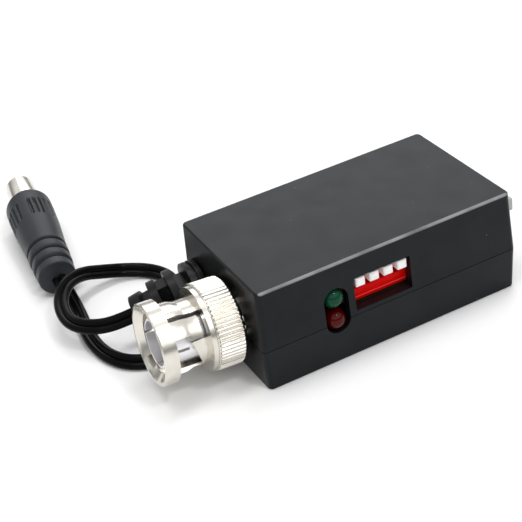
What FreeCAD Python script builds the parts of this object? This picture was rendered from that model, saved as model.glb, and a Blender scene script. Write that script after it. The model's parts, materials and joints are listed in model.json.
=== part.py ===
import FreeCAD, Part
import math
import os

import Sketcher

# Video balun in a two-part black case: bayonet plug and power lead on the left end,
# indicator lamps and a four-way switch on the near side, push terminals on the right end.
# Frame: origin at the middle of the underside, +X along the case away from the plug,
# -Y the side with the lamps, +Z up. Millimetres.

doc = FreeCAD.newDocument("video_balun")

# Driving sizes
SIZES = (
    ("case_length", 47.0),
    ("case_width", 27.4),
    ("lower_height", 7.55),
    ("upper_height", 10.45),
    ("case_draft", 2.4),
    ("corner_radius", 0.9),
    ("rim_radius", 0.35),
    ("cavity_inset", 1.94),
    ("case_floor", 1.6),
    ("lip_width", 0.75),
    ("lip_height", 0.7),
    ("lip_clearance", 0.08),
    ("lip_half_length", 20.0),
    ("boss_radius", 2.6),
    ("boss_edge", 5.1),
    ("boss_offset_y", "=case_width / 2 - boss_edge"),
    ("screw_hole_radius", 1.3),
    ("screw_radius", 1.15),
    ("screw_head_radius", 2.1),
    ("screw_head_height", 1.4),
    ("screw_head_gap", 0.2),
    ("screw_length", 10.5),
    ("board_bottom", 6.9),
    ("board_thickness", 1.2),
    ("board_left_room", 4.6),
    ("board_left", "=-case_length / 2 + board_left_room"),
    ("board_right_room", 2.3),
    ("board_right", "=case_length / 2 - board_right_room"),
    ("board_clearance", 0.26),
    ("board_half_width", "=case_width / 2 - cavity_inset - board_clearance"),
    ("lamp_x", -10.05),
    ("lamp_slot_width", 4.3),
    ("lamp_slot_bottom", 5.6),
    ("lamp_slot_top", 13.7),
    ("lamp_radius", 1.5),
    ("lamp_flange_radius", 1.9),
    ("lamp_length", 5.3),
    ("lamp_proud", 0.3),
    ("lamp_tip_y", "=-case_width / 2 - lamp_proud"),
    ("lamp_pitch", 4.05),
    ("lamp_middle_z", 9.6),
    ("lead_radius", 0.25),
    ("lead_pitch", 2.54),
    ("lead_row", 8.6),
    ("lead_bend", 0.4),
    ("switch_x", -1.55),
    ("switch_pitch", 2.54),
    ("switch_length", 11.7),
    ("switch_depth", 6.4),
    ("switch_clearance", 0.11),
    ("switch_front_y", "=-case_width / 2 + cavity_inset + switch_clearance"),
    ("switch_bottom", 8.2),
    ("switch_top", 14.4),
    ("switch_bevel", 1.0),
    ("window_width", 10.3),
    ("window_bottom", 8.3),
    ("window_top", 14.1),
    ("slider_width", 1.7),
    ("slider_height", 1.6),
    ("slider_reach", 1.75),
    ("slider_root", 1.6),
    ("slider_z", 12.95),
    ("slider_travel", 1.2),
    ("slider_clearance", 0.1),
    ("plug_y", -3.8),
    ("plug_z", 8.97),
    ("plug_yaw", 1.5),
    ("plug_pitch", 3.0),
    ("plug_hole_radius", 4.6),
    ("neck_radius", 4.1),
    ("flange_radius", 5.2),
    ("flange_start", 2.4),
    ("flange_thickness", 1.7),
    ("shoulder_start", 3.4),
    ("shoulder_thickness", 1.0),
    ("shoulder_radius", 5.7),
    ("washer_radius", 5.6),
    ("washer_thickness", 0.35),
    ("gasket_thickness", 0.7),
    ("nut_gap", 0.7),
    ("nut_web", 1.4),
    ("nut_length", 13.65),
    ("grip_radius", 7.18),
    ("grip_length", 4.85),
    ("grip_ridges", 64),
    ("grip_groove", 0.3),
    ("band_radius", 6.85),
    ("band_length", 0.8),
    ("collar_wall", 0.9),
    ("chamber_end", 5.2),
    ("chamber_radius", 5.8),
    ("slope_start", 2.4),
    ("slope_end", 3.6),
    ("mouth_bevel", 1.1),
    ("tongue_slot", 0.75),
    ("window_start", 7.0),
    ("window_end", 9.5),
    ("sleeve_radius", 5.35),
    ("sleeve_front_radius", 5.7),
    ("nut_ring_radius", 6.75),
    ("nut_ring_length", 2.4),
    ("nut_bore_radius", 4.95),
    ("mouth_radius", 6.25),
    ("running_clearance", 0.1),
    ("slot_width", 0.8),
    ("stud_radius", 5.6),
    ("contact_radius", 4.1),
    ("contact_wall", 0.45),
    ("contact_front", 13.4),
    ("contact_slot", 0.5),
    ("insulator_radius", 3.5),
    ("insulator_front", 8.2),
    ("insulator_recess", 1.6),
    ("insulator_step", 1.1),
    ("pin_radius", 0.68),
    ("pin_front", 12.3),
    ("pin_tail", 2.3),
    ("relief_edge", 5.3),
    ("relief_y", "=case_width / 2 - relief_edge"),
    ("relief_z", 8.95),
    ("relief_swing", 36.8),
    ("relief_bend", 31.8),
    ("relief_length", 11.3),
    ("relief_base_radius", 4.15),
    ("relief_end_radius", 3.1),
    ("relief_neck_radius", 2.7),
    ("relief_flange_radius", 3.25),
    ("relief_hole_radius", 2.8),
    ("relief_web", 1.25),
    ("relief_web_inset", 1.1),
    ("relief_collar", 0.9),
    ("relief_collar_step", 0.5),
    ("relief_lip_start", 1.3),
    ("relief_lip", 0.75),
    ("relief_ring", 1.35),
    ("relief_ring_first", 3.75),
    ("relief_ring_pitch", 2.83),
    ("relief_bite", 0.4),
    ("cord_diameter", 2.2),
    ("cord_entry", 0.8),
    ("power_plug_length", 26.2),
    ("power_plug_front_radius", 4.35),
    ("power_plug_rear_radius", 3.4),
    ("power_plug_nose", 1.4),
    ("ring_groove_depth", 0.7),
    ("ring_groove_width", 1.0),
    ("ring_groove_first", 2.9),
    ("ring_groove_pitch", 3.05),
    ("grip_slot_width", 0.55),
    ("grip_slot_length", 5.6),
    ("grip_slot_depth", 0.45),
    ("barrel_radius", 2.75),
    ("barrel_bore", 2.35),
    ("barrel_length", 8.0),
    ("power_pin_bore", 1.08),
    ("contact_sheet", 0.25),
    ("terminal_set_back", 0.3),
    ("terminal_right", "=case_length / 2 - terminal_set_back"),
    ("terminal_depth", 9.6),
    ("terminal_left", "=terminal_right - terminal_depth"),
    ("terminal_clearance", 0.15),
    ("cell_gap", 0.02),
    ("terminal_top", 15.2),
    ("terminal_pitch", 5.08),
    ("terminal_half_width", "=2 * terminal_pitch"),
    ("wire_hole_radius", 1.1),
    ("wire_hole_depth", 7.0),
    ("wire_hole_z", 9.9),
    ("button_width", 3.6),
    ("button_height", 2.2),
    ("button_reach", 3.2),
    ("button_root", 3.0),
    ("button_z", 12.8),
    ("button_travel", 1.6),
    ("button_clearance", 0.12),
    ("capacitor_radius", 3.15),
    ("capacitor_height", 7.0),
    ("capacitor_x", -5.0),
    ("capacitor_edge", 5.5),
    ("capacitor_y", "=board_half_width - capacitor_edge"),
    ("chip_length", 5.0),
    ("chip_width", 4.0),
    ("chip_height", 1.5),
    ("chip_x", -12.0),
    ("core_radius", 4.4),
    ("core_bore", 2.4),
    ("core_height", 3.6),
    ("core_x", 6.0),
    ("core_edge", 6.5),
    ("core_y", "=board_half_width - core_edge"),
    ("core_lift", 0.5),
    ("winding_wall", 0.4),
    ("winding_gap", 0.05),
    ("boss_far_x", "=(board_left + capacitor_x - capacitor_radius) / 2"),
    ("boss_near_x", "=(terminal_left + switch_x + switch_length / 2) / 2"),
)

sheet = doc.addObject("Spreadsheet::Sheet", "sizes")
for row, (alias, value) in enumerate(SIZES, start=1):
    sheet.set("A%d" % row, alias)
    sheet.set("B%d" % row, str(value))
    sheet.setAlias("B%d" % row, alias)
doc.recompute()


def size(alias):
    """The value of a cell, for the few places that an expression cannot reach."""
    return float(sheet.get(alias))


def cell(text):
    """An expression over the sheet: every word that is an alias gets the sheet's name."""
    words = []
    for word in text.split():
        words.append("sizes." + word if sheet.getCellFromAlias(word) else word)
    return " ".join(words)


def bind(thing, path, text):
    thing.setExpression(path, cell(text))


# Origins and directions that whole groups of pieces share

def turned(yaw_degrees, pitch_degrees):
    """Turn local +X to point left along the case, swung to +Y and tilted up."""
    swing = FreeCAD.Rotation(FreeCAD.Vector(0, 0, 1), 180 - yaw_degrees)
    tilt = FreeCAD.Rotation(FreeCAD.Vector(0, 1, 0), -pitch_degrees)
    return swing.multiply(tilt)


def case_end():
    return -size("case_length") / 2


def plug_place():
    base = FreeCAD.Vector(case_end(), size("plug_y"), size("plug_z"))
    return FreeCAD.Placement(base, turned(size("plug_yaw"), size("plug_pitch")))


def relief_spot(along):
    """A place on the relief's middle line, an arc that leaves the wall squarely and droops.

    The arc lies in a plane through the wall's normal, swung from straight down towards +Y.
    """
    base = FreeCAD.Vector(case_end(), size("relief_y"), size("relief_z"))
    swing = math.radians(size("relief_swing"))
    aside = FreeCAD.Vector(0, math.sin(swing), -math.cos(swing))
    out = FreeCAD.Vector(-1, 0, 0)
    radius = size("relief_length") / math.radians(size("relief_bend"))
    angle = along / radius
    spot = base + out * (radius * math.sin(angle)) + aside * (radius * (1 - math.cos(angle)))
    heading = out * math.cos(angle) + aside * math.sin(angle)
    level = FreeCAD.Vector(0, 1, 0)
    return FreeCAD.Placement(spot, FreeCAD.Rotation(heading, level, FreeCAD.Vector(0, 0, 1), "XYZ"))


# Bodies, sketches and features

def new_body(label):
    body = doc.addObject("PartDesign::Body", label)
    body.Label = label
    return body


def origin_plane(body, role):
    for feature in body.Origin.OriginFeatures:
        if feature.Role == role:
            return feature
    raise RuntimeError("no plane " + role)


def new_sketch(body, name, role, lift="0"):
    sketch = body.newObject("Sketcher::SketchObject", name)
    sketch.AttachmentSupport = [(origin_plane(body, role), "")]
    sketch.MapMode = "FlatFace"
    if lift != "0":
        bind(sketch, "AttachmentOffset.Base.z", lift)
    return sketch


def place_point(sketch, line, end, along, up):
    """Hold one end of a line at two signed distances from the origin, each an expression."""
    for kind, axis, text in (("DistanceX", -2, along), ("DistanceY", -1, up)):
        if text == "0":
            sketch.addConstraint(Sketcher.Constraint("PointOnObject", line, end, axis))
        else:
            point = sketch.getPoint(line, end)
            value = point.x if kind == "DistanceX" else point.y
            index = sketch.addConstraint(Sketcher.Constraint(kind, -1, 1, line, end, value))
            bind(sketch, "Constraints[%d]" % index, text)


def value_of(text):
    """The number that an expression over the sheet has now."""
    total = 0.0
    sign = 1.0
    product = None
    divide = False
    for word in text.split():
        if word in "+-":
            total += sign * product
            sign = 1.0 if word == "+" else -1.0
            product = None
        elif word == "*":
            divide = False
        elif word == "/":
            divide = True
        else:
            number = size(word) if sheet.getCellFromAlias(word) else float(word)
            if product is None:
                product = number
            else:
                product = product / number if divide else product * number
    return total + sign * product


def add_outline(sketch, corners):
    """A closed outline of straight lines through corners given as pairs of expressions."""
    spots = [FreeCAD.Vector(value_of(a), value_of(b), 0) for a, b in corners]
    count = len(corners)
    first = sketch.GeometryCount
    for i in range(count):
        sketch.addGeometry(Part.LineSegment(spots[i], spots[(i + 1) % count]), False)
    for i in range(count):
        after = first + (i + 1) % count
        sketch.addConstraint(Sketcher.Constraint("Coincident", first + i, 2, after, 1))
    for i, (along, up) in enumerate(corners):
        place_point(sketch, first + i, 1, along, up)


def add_rectangle(sketch, left, low, right, high):
    add_outline(sketch, ((left, low), (right, low), (right, high), (left, high)))


def add_circle(sketch, along, up, radius):
    centre = FreeCAD.Vector(value_of(along), value_of(up), 0)
    circle = Part.Circle(centre, FreeCAD.Vector(0, 0, 1), value_of(radius))
    index = sketch.addGeometry(circle, False)
    place_point(sketch, index, 3, along, up)
    held = sketch.addConstraint(Sketcher.Constraint("Radius", index, value_of(radius)))
    bind(sketch, "Constraints[%d]" % held, radius)


def pad(body, name, sketch, length, reverse=False, middle=False, taper=None):
    feature = body.newObject("PartDesign::Pad", name)
    feature.Profile = sketch
    feature.Reversed = reverse
    feature.Midplane = middle
    bind(feature, "Length", length)
    if taper:
        bind(feature, "TaperAngle", taper)
    doc.recompute()
    return feature


def cut(body, name, sketch, length, reverse=False, middle=False):
    """A pocket that has to take something away, so a wrong direction stops the build."""
    before = body.Shape.Volume
    feature = body.newObject("PartDesign::Pocket", name)
    feature.Profile = sketch
    feature.Reversed = reverse
    feature.Midplane = middle
    bind(feature, "Length", length)
    doc.recompute()
    if body.Shape.Volume > before - 1e-4:
        raise RuntimeError(name + " cuts nothing")
    return feature


def revolve(body, name, sketch, angle=360):
    feature = body.newObject("PartDesign::Revolution", name)
    feature.Profile = sketch
    feature.ReferenceAxis = (sketch, ["H_Axis"])
    feature.Angle = angle
    doc.recompute()
    return feature


def repeat_round(body, name, features, count, axis_role="X_Axis"):
    pattern = body.newObject("PartDesign::PolarPattern", name)
    pattern.Originals = features
    pattern.Axis = (origin_plane(body, axis_role), [""])
    pattern.Angle = 360
    pattern.Occurrences = count
    body.Tip = pattern
    doc.recompute()
    return pattern


def soften(body, name, base, edges, radius, kind="Fillet"):
    feature = body.newObject("PartDesign::" + kind, name)
    feature.Base = (base, edges)
    bind(feature, "Radius" if kind == "Fillet" else "Size", radius)
    doc.recompute()
    return feature


def edges_where(shape, test):
    """Names of the edges whose middle point and bounding box pass a test."""
    names = []
    for number, edge in enumerate(shape.Edges, start=1):
        if test(edge.BoundBox):
            names.append("Edge%d" % number)
    return names


def turned_piece(label, outline, place):
    """A body turned about its local X axis, put where its group stands."""
    body = new_body(label)
    sketch = new_sketch(body, label + "_profile", "XY_Plane")
    add_outline(sketch, outline)
    revolve(body, label + "_turned", sketch)
    body.Placement = place
    return body


# Case

def case_half(label, height, upward):
    """One moulded half: a drafted pad from the seam, rounded edges, and a straight cavity."""
    body = new_body(label)
    outer = new_sketch(body, label + "_outline", "XY_Plane", "lower_height")
    half_x = "case_length / 2"
    half_y = "case_width / 2"
    add_rectangle(outer, "-1 * " + half_x, "-1 * " + half_y, half_x, half_y)
    block = pad(body, label + "_block", outer, height, reverse=not upward, taper="-1 * case_draft")
    corners = edges_where(block.Shape, lambda box: box.ZLength > 5)
    rounded = soften(body, label + "_corners", block, corners, "corner_radius")
    far = 0.0 if not upward else size("lower_height") + size("upper_height")
    rim = edges_where(rounded.Shape, lambda box: box.ZLength < 0.01 and abs(box.ZMin - far) < 0.01)
    soften(body, label + "_rim", rounded, rim, "rim_radius")
    hollow = new_sketch(body, label + "_cavity_outline", "XY_Plane", "lower_height")
    in_x = "case_length / 2 - cavity_inset"
    in_y = "case_width / 2 - cavity_inset"
    add_rectangle(hollow, "-1 * case_length / 2 + cavity_inset", "-1 * case_width / 2 + cavity_inset", in_x, in_y)
    cut(body, label + "_cavity", hollow, height + " - case_floor", reverse=upward)
    return body


def boss_places():
    return (("far", "boss_far_x", "boss_offset_y"), ("near", "boss_near_x", "-1 * boss_offset_y"))


def add_bosses(body, lift, length, reverse):
    sketch = new_sketch(body, body.Label + "_boss_outline", "XY_Plane", lift)
    for _, along, across in boss_places():
        add_circle(sketch, along, across, "boss_radius")
    pad(body, body.Label + "_bosses", sketch, length, reverse=reverse)


def add_boss_holes(body, lift, length, radius, name, reverse):
    sketch = new_sketch(body, body.Label + name + "_outline", "XY_Plane", lift)
    for _, along, across in boss_places():
        add_circle(sketch, along, across, radius)
    cut(body, body.Label + name, sketch, length, reverse=reverse)


def add_upright_slot(sketch, along, low, high, radius):
    """A closed slot: two upright lines between two half circles with the given centres."""
    x = value_of(along)
    z_low = value_of(low)
    z_high = value_of(high)
    r = value_of(radius)
    normal = FreeCAD.Vector(0, 0, 1)
    top = Part.Circle(FreeCAD.Vector(x, z_high, 0), normal, r)
    foot = Part.Circle(FreeCAD.Vector(x, z_low, 0), normal, r)
    sketch.addGeometry(Part.ArcOfCircle(top, 0, math.pi), False)
    sketch.addGeometry(Part.LineSegment(FreeCAD.Vector(x - r, z_high, 0), FreeCAD.Vector(x - r, z_low, 0)), False)
    sketch.addGeometry(Part.ArcOfCircle(foot, math.pi, 2 * math.pi), False)
    sketch.addGeometry(Part.LineSegment(FreeCAD.Vector(x + r, z_low, 0), FreeCAD.Vector(x + r, z_high, 0)), False)
    for first in range(4):
        sketch.addConstraint(Sketcher.Constraint("Tangent", first, 2, (first + 1) % 4, 1))
    place_point(sketch, 0, 3, along, high)
    place_point(sketch, 2, 3, along, low)
    for arc in (0, 2):
        index = sketch.addConstraint(Sketcher.Constraint("Radius", arc, r))
        bind(sketch, "Constraints[%d]" % index, radius)


def cut_near_wall(body, name, sketch):
    """A cut from the middle plane out through the wall on the -Y side."""
    cut(body, name, sketch, "case_width", reverse=True)


def add_side_strips(sketch, extra):
    """Two narrow strips beside the cavity's long sides; extra widens them for clearance."""
    reach = "case_width / 2 - cavity_inset"
    across = reach + " + lip_width" + extra
    along = "lip_half_length" + extra
    back = "-1 * lip_half_length" + extra.replace("+", "-")
    minus = "-1 * case_width / 2 + cavity_inset"
    far = minus + " - lip_width" + extra.replace("+", "-")
    add_rectangle(sketch, back, reach, along, across)
    add_rectangle(sketch, back, far, along, minus)


def add_lip(body):
    """The lower half's locating lip; the upper half has the matching groove."""
    sketch = new_sketch(body, "lip_outline", "XY_Plane", "lower_height - 0.3")
    add_side_strips(sketch, "")
    pad(body, "lip", sketch, "lip_height + 0.3")


def cut_lip_groove(body):
    sketch = new_sketch(body, "lip_groove_outline", "XY_Plane", "lower_height - 0.1")
    add_side_strips(sketch, " + lip_clearance")
    cut(body, "lip_groove", sketch, "lip_height + lip_clearance + 0.1", reverse=True)


def cut_lamp_slot(body):
    sketch = new_sketch(body, body.Label + "_lamp_slot", "XZ_Plane")
    half = "lamp_slot_width / 2"
    add_upright_slot(sketch, "lamp_x", "lamp_slot_bottom + " + half, "lamp_slot_top - " + half, half)
    cut_near_wall(body, body.Label + "_lamp_slot_cut", sketch)


def cut_end_holes(body):
    """Round holes in the left end, for the plug's neck and for the strain relief."""
    for name, across, height, radius in (
        ("_plug_hole", "plug_y", "plug_z", "plug_hole_radius"),
        ("_relief_hole", "relief_y", "relief_z", "relief_hole_radius"),
    ):
        sketch = new_sketch(body, body.Label + name, "YZ_Plane", "-1 * case_length / 2 - 1")
        add_circle(sketch, across, height, radius)
        cut(body, body.Label + name + "_cut", sketch, "cavity_inset + 1.2", reverse=True)


def make_upper_shell():
    body = case_half("upper_shell", "upper_height", True)
    ceiling = "lower_height + upper_height - case_floor"
    board_top = "board_bottom + board_thickness"
    add_bosses(body, board_top, ceiling + " - board_bottom - board_thickness + 0.2", False)
    add_boss_holes(body, board_top, "6.2", "screw_radius + 0.02", "_pilot", True)
    cut_lip_groove(body)
    cut_lamp_slot(body)
    window = new_sketch(body, "switch_window", "XZ_Plane")
    add_rectangle(
        window, "switch_x - window_width / 2", "window_bottom", "switch_x + window_width / 2", "window_top"
    )
    cut_near_wall(body, "switch_window_cut", window)
    cut_end_holes(body)
    mouth = new_sketch(body, "terminal_mouth", "YZ_Plane", "case_length / 2 + 1")
    add_rectangle(
        mouth,
        "-1 * terminal_half_width - terminal_clearance",
        "board_bottom + board_thickness - 0.1",
        "terminal_half_width + terminal_clearance",
        "terminal_top + terminal_clearance",
    )
    cut(body, "terminal_mouth_cut", mouth, "cavity_inset + 1.2")
    return body


def make_lower_shell():
    body = case_half("lower_shell", "lower_height", False)
    add_bosses(body, "case_floor - 0.2", "board_bottom - case_floor + 0.2", False)
    add_boss_holes(body, "-1 * 0.5", "board_bottom + 1", "screw_hole_radius", "_screw_hole", True)
    add_boss_holes(
        body, "-1 * 0.5", "screw_head_height + 0.5 + screw_head_gap", "screw_head_radius + 0.2", "_head", True
    )
    add_lip(body)
    cut_lamp_slot(body)
    cut_end_holes(body)
    return body


def make_screws():
    """Two self-tapping screws from below, with a cross recess."""
    for name, along, across in boss_places():
        body = new_body("case_screw_" + name)
        head = new_sketch(body, body.Name + "_head_outline", "XY_Plane")
        add_circle(head, "0", "0", "screw_head_radius")
        top = pad(body, body.Name + "_head", head, "screw_head_height")
        rim = edges_where(top.Shape, lambda box: box.ZMax < 0.01)
        soften(body, body.Name + "_head_edge", top, rim, "screw_head_height / 4", "Chamfer")
        shank = new_sketch(body, body.Name + "_shank_outline", "XY_Plane", "screw_head_height - 0.1")
        add_circle(shank, "0", "0", "screw_radius")
        pad(body, body.Name + "_shank", shank, "screw_length")
        for turn, (long_x, long_y) in enumerate((("1.2", "0.25"), ("0.25", "1.2"))):
            cross = new_sketch(body, body.Name + "_cross_%d" % turn, "XY_Plane")
            add_rectangle(cross, "-1 * " + long_x, "-1 * " + long_y, long_x, long_y)
            cut(body, body.Name + "_cross_cut_%d" % turn, cross, "0.8", reverse=True)
        bind(body, "Placement.Base.x", along)
        bind(body, "Placement.Base.y", across)
        bind(body, "Placement.Base.z", "screw_head_gap")


# Circuit board and what stands on it

def make_board():
    body = new_body("circuit_board")
    outline = new_sketch(body, "board_outline", "XY_Plane", "board_bottom")
    half = "board_half_width"
    add_rectangle(outline, "board_left", "-1 * " + half, "board_right", half)
    pad(body, "board_plate", outline, "board_thickness")
    notch = new_sketch(body, "board_notch", "XY_Plane", "board_bottom - 1")
    add_rectangle(notch, "lamp_x - 2.6", "-1 * board_half_width - 1", "lamp_x + 2.6", "lamp_tip_y + 6.2")
    cut(body, "board_notch_cut", notch, "board_thickness + 2", reverse=True)
    add_boss_holes(body, "board_bottom - 1", "board_thickness + 2", "screw_hole_radius", "_holes", True)
    wires = new_sketch(body, "lead_holes", "XY_Plane", "board_bottom - 1")
    for side in ("-", "+"):
        add_circle(wires, "lamp_x %s lead_pitch / 2" % side, "lamp_tip_y + lead_row", "lead_radius + 0.1")
    cut(body, "lead_holes_cut", wires, "board_thickness + 2", reverse=True)
    return body


def bent_path(spots, radius):
    """Straight runs through the spots, with a tangent arc of one radius at each bend."""
    edges = []
    last = spots[0]
    for before, here, after in zip(spots, spots[1:], spots[2:]):
        back = (before - here).normalize()
        on = (after - here).normalize()
        turn = math.pi - back.getAngle(on)
        enter = here + back * (radius * math.tan(turn / 2))
        leave = here + on * (radius * math.tan(turn / 2))
        inward = (back + on).normalize()
        middle = here + inward * (radius / math.cos(turn / 2) - radius)
        edges.append(Part.LineSegment(last, enter).toShape())
        edges.append(Part.Arc(enter, middle, leave).toShape())
        last = leave
    edges.append(Part.LineSegment(last, spots[-1]).toShape())
    return Part.Wire(edges)


def make_lamp(colour, height, route):
    """A 3 mm indicator lamp lying on its side, and its two leads bent along a route."""
    lens = new_body("lamp_" + colour)
    disc = new_sketch(lens, "lamp_%s_outline" % colour, "XZ_Plane")
    add_circle(disc, "0", "0", "lamp_radius")
    stem = pad(lens, "lamp_%s_stem" % colour, disc, "lamp_length")
    tip = edges_where(stem.Shape, lambda box: box.YMax < -1)
    soften(lens, "lamp_%s_dome" % colour, stem, tip, "lamp_radius - 0.03")
    flange = new_sketch(lens, "lamp_%s_flange_outline" % colour, "XZ_Plane")
    add_circle(flange, "0", "0", "lamp_flange_radius")
    pad(lens, "lamp_%s_flange" % colour, flange, "0.9")
    bind(lens, "Placement.Base.x", "lamp_x")
    bind(lens, "Placement.Base.y", "lamp_tip_y + lamp_length")
    bind(lens, "Placement.Base.z", height)
    leads = []
    for side in (-0.5, 0.5):
        across = size("lamp_x") + side * size("lead_pitch")
        spots = [FreeCAD.Vector(across, value_of(y), value_of(z)) for y, z in route]
        path = bent_path(spots, size("lead_bend"))
        ring = Part.Wire([Part.Circle(spots[0], FreeCAD.Vector(0, 1, 0), size("lead_radius")).toShape()])
        leads.append(path.makePipeShell([ring], True, False))
    pair = doc.addObject("Part::Feature", "lamp_%s_leads" % colour)
    pair.Label = "lamp_%s_leads" % colour
    pair.Shape = Part.makeCompound(leads)
    return lens, pair


def make_lamps():
    """The upper lamp's leads go down through the board, the lower lamp's pass under it."""
    upper = "lamp_middle_z + lamp_pitch / 2"
    lower = "lamp_middle_z - lamp_pitch / 2"
    back = "lamp_tip_y + lamp_length"
    row = "lamp_tip_y + lead_row"
    under = "board_bottom - lead_bend"
    make_lamp("green", upper, ((back, upper), (row, upper), (row, "board_bottom - 1")))
    drop = back + " + 0.55"
    make_lamp("red", lower, ((back, lower), (drop, lower), (drop, under), (row + " - 0.8", under)))


def slider_x(number):
    return "switch_x + switch_pitch * %s" % (number - 2.5)


def make_switch():
    """Four-way switch lying on its side: red body, bevelled foot, a track for each slider."""
    body = new_body("switch_body")
    profile = new_sketch(body, "switch_profile", "YZ_Plane")
    front = "switch_front_y"
    back = "switch_front_y + switch_depth"
    add_outline(profile, (
        (front + " + switch_bevel / 2", "switch_bottom"),
        (back, "switch_bottom"),
        (back, "switch_top"),
        (front, "switch_top"),
        (front, "switch_bottom + switch_bevel"),
    ))
    pad(body, "switch_block", profile, "switch_length", middle=True)
    bind(body, "Placement.Base.x", "switch_x")
    tracks = new_sketch(body, "switch_tracks", "XZ_Plane", "-1 * switch_front_y + 1")
    half = "slider_width / 2 + slider_clearance"
    high = "slider_z + slider_height / 2 + slider_clearance"
    low = "slider_z - slider_height / 2 - slider_travel - slider_clearance"
    for number in range(1, 5):
        middle = "switch_pitch * %s" % (number - 2.5)
        add_rectangle(tracks, middle + " - " + half.replace("+", "-"), low, middle + " + " + half, high)
    cut(body, "switch_tracks_cut", tracks, "slider_root + 1.15")
    return body


def make_sliders():
    for number in range(1, 5):
        body = new_body("switch_slider_%d" % number)
        face = new_sketch(body, body.Name + "_outline", "XZ_Plane")
        add_rectangle(
            face, "-1 * slider_width / 2", "-1 * slider_height / 2", "slider_width / 2", "slider_height / 2"
        )
        block = pad(body, body.Name + "_block", face, "slider_reach + slider_root")
        tip = edges_where(block.Shape, lambda box: box.YMax < -1)
        soften(body, body.Name + "_edges", block, tip, "slider_width / 5")
        bind(body, "Placement.Base.x", slider_x(number))
        bind(body, "Placement.Base.y", "switch_front_y + slider_root")
        bind(body, "Placement.Base.z", "slider_z")


def make_parts_on_board():
    board_top = "board_bottom + board_thickness"
    can = new_body("smoothing_capacitor")
    disc = new_sketch(can, "capacitor_outline", "XY_Plane")
    add_circle(disc, "0", "0", "capacitor_radius")
    shell = pad(can, "capacitor_can", disc, "capacitor_height")
    top = edges_where(shell.Shape, lambda box: box.ZMin > 1)
    soften(can, "capacitor_edge", shell, top, "capacitor_radius / 8", "Chamfer")
    bind(can, "Placement.Base.x", "capacitor_x")
    bind(can, "Placement.Base.y", "capacitor_y")
    bind(can, "Placement.Base.z", board_top)
    chip = new_body("line_driver_chip")
    plate = new_sketch(chip, "chip_outline", "XY_Plane")
    add_rectangle(plate, "-1 * chip_length / 2", "-1 * chip_width / 2", "chip_length / 2", "chip_width / 2")
    pad(chip, "chip_block", plate, "chip_height")
    bind(chip, "Placement.Base.x", "chip_x")
    bind(chip, "Placement.Base.z", board_top)
    core = new_body("balun_core")
    ring = new_sketch(core, "core_outline", "XY_Plane")
    add_circle(ring, "0", "0", "core_radius")
    add_circle(ring, "0", "0", "core_bore")
    pad(core, "core_ring", ring, "core_height")
    bind(core, "Placement.Base.x", "core_x")
    bind(core, "Placement.Base.y", "core_y")
    bind(core, "Placement.Base.z", board_top + " + core_lift")
    make_windings()


def make_windings():
    """Two windings, each a closed sleeve round a third of the core."""
    gap = size("winding_gap")
    wall = size("winding_wall")
    inner = size("core_bore") - gap
    outer = size("core_radius") + gap
    height = size("core_height") + 2 * gap
    level = value_of("board_bottom + board_thickness + core_lift")
    centre = FreeCAD.Vector(size("core_x"), size("core_y"), level)
    for name, start in (("input", -60), ("output", 120)):
        section = []
        for in_edge, out_edge, low, high in (
            (inner - wall, outer + wall, -gap - wall, height - gap + wall),
            (inner, outer, -gap, height - gap),
        ):
            section.append(Part.makePolygon([
                FreeCAD.Vector(in_edge, 0, low),
                FreeCAD.Vector(out_edge, 0, low),
                FreeCAD.Vector(out_edge, 0, high),
                FreeCAD.Vector(in_edge, 0, high),
                FreeCAD.Vector(in_edge, 0, low),
            ]))
        face = Part.Face(section[0]).cut(Part.Face(section[1]))
        sleeve = face.revolve(FreeCAD.Vector(0, 0, 0), FreeCAD.Vector(0, 0, 1), 120)
        winding = doc.addObject("Part::Feature", "balun_winding_" + name)
        winding.Label = "balun_winding_" + name
        winding.Shape = sleeve
        winding.Placement = FreeCAD.Placement(centre, FreeCAD.Rotation(FreeCAD.Vector(0, 0, 1), start))


# Bayonet plug

def make_plug_body():
    """Flanged neck through the end wall, with the shoulder that holds the nut."""
    back = "-1 * flange_start - flange_thickness"
    front = "shoulder_start + shoulder_thickness"
    turned_piece("plug_body", (
        (back, "insulator_radius"),
        (back, "flange_radius"),
        ("-1 * flange_start", "flange_radius"),
        ("-1 * flange_start", "neck_radius"),
        ("shoulder_start", "neck_radius"),
        ("shoulder_start", "shoulder_radius"),
        (front, "shoulder_radius"),
        (front, "insulator_radius"),
    ), plug_place())


def washer(label, start, thickness, radius_in, radius_out):
    turned_piece(label, (
        (start, radius_in),
        (start, radius_out),
        (start + " + " + thickness, radius_out),
        (start + " + " + thickness, radius_in),
    ), plug_place())


def make_outer_contact():
    """Springy tube inside the nut, slit in four at its mouth."""
    rear = "shoulder_start + shoulder_thickness"
    body = turned_piece("outer_contact", (
        (rear, "insulator_radius + 0.15"),
        (rear, "contact_radius"),
        ("contact_front - 0.25", "contact_radius"),
        ("contact_front", "contact_radius - 0.2"),
        ("contact_front", "contact_radius - contact_wall"),
        ("insulator_front", "contact_radius - contact_wall"),
        ("insulator_front", "insulator_radius + 0.15"),
    ), plug_place())
    slit = new_sketch(body, "contact_slit", "XZ_Plane")
    add_rectangle(slit, "contact_front - 4.2", "-1 * contact_slot / 2", "contact_front + 1", "contact_slot / 2")
    slit_cut = cut(body, "contact_slit_cut", slit, "contact_radius + 1")
    repeat_round(body, "contact_slits", [slit_cut], 4)


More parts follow.
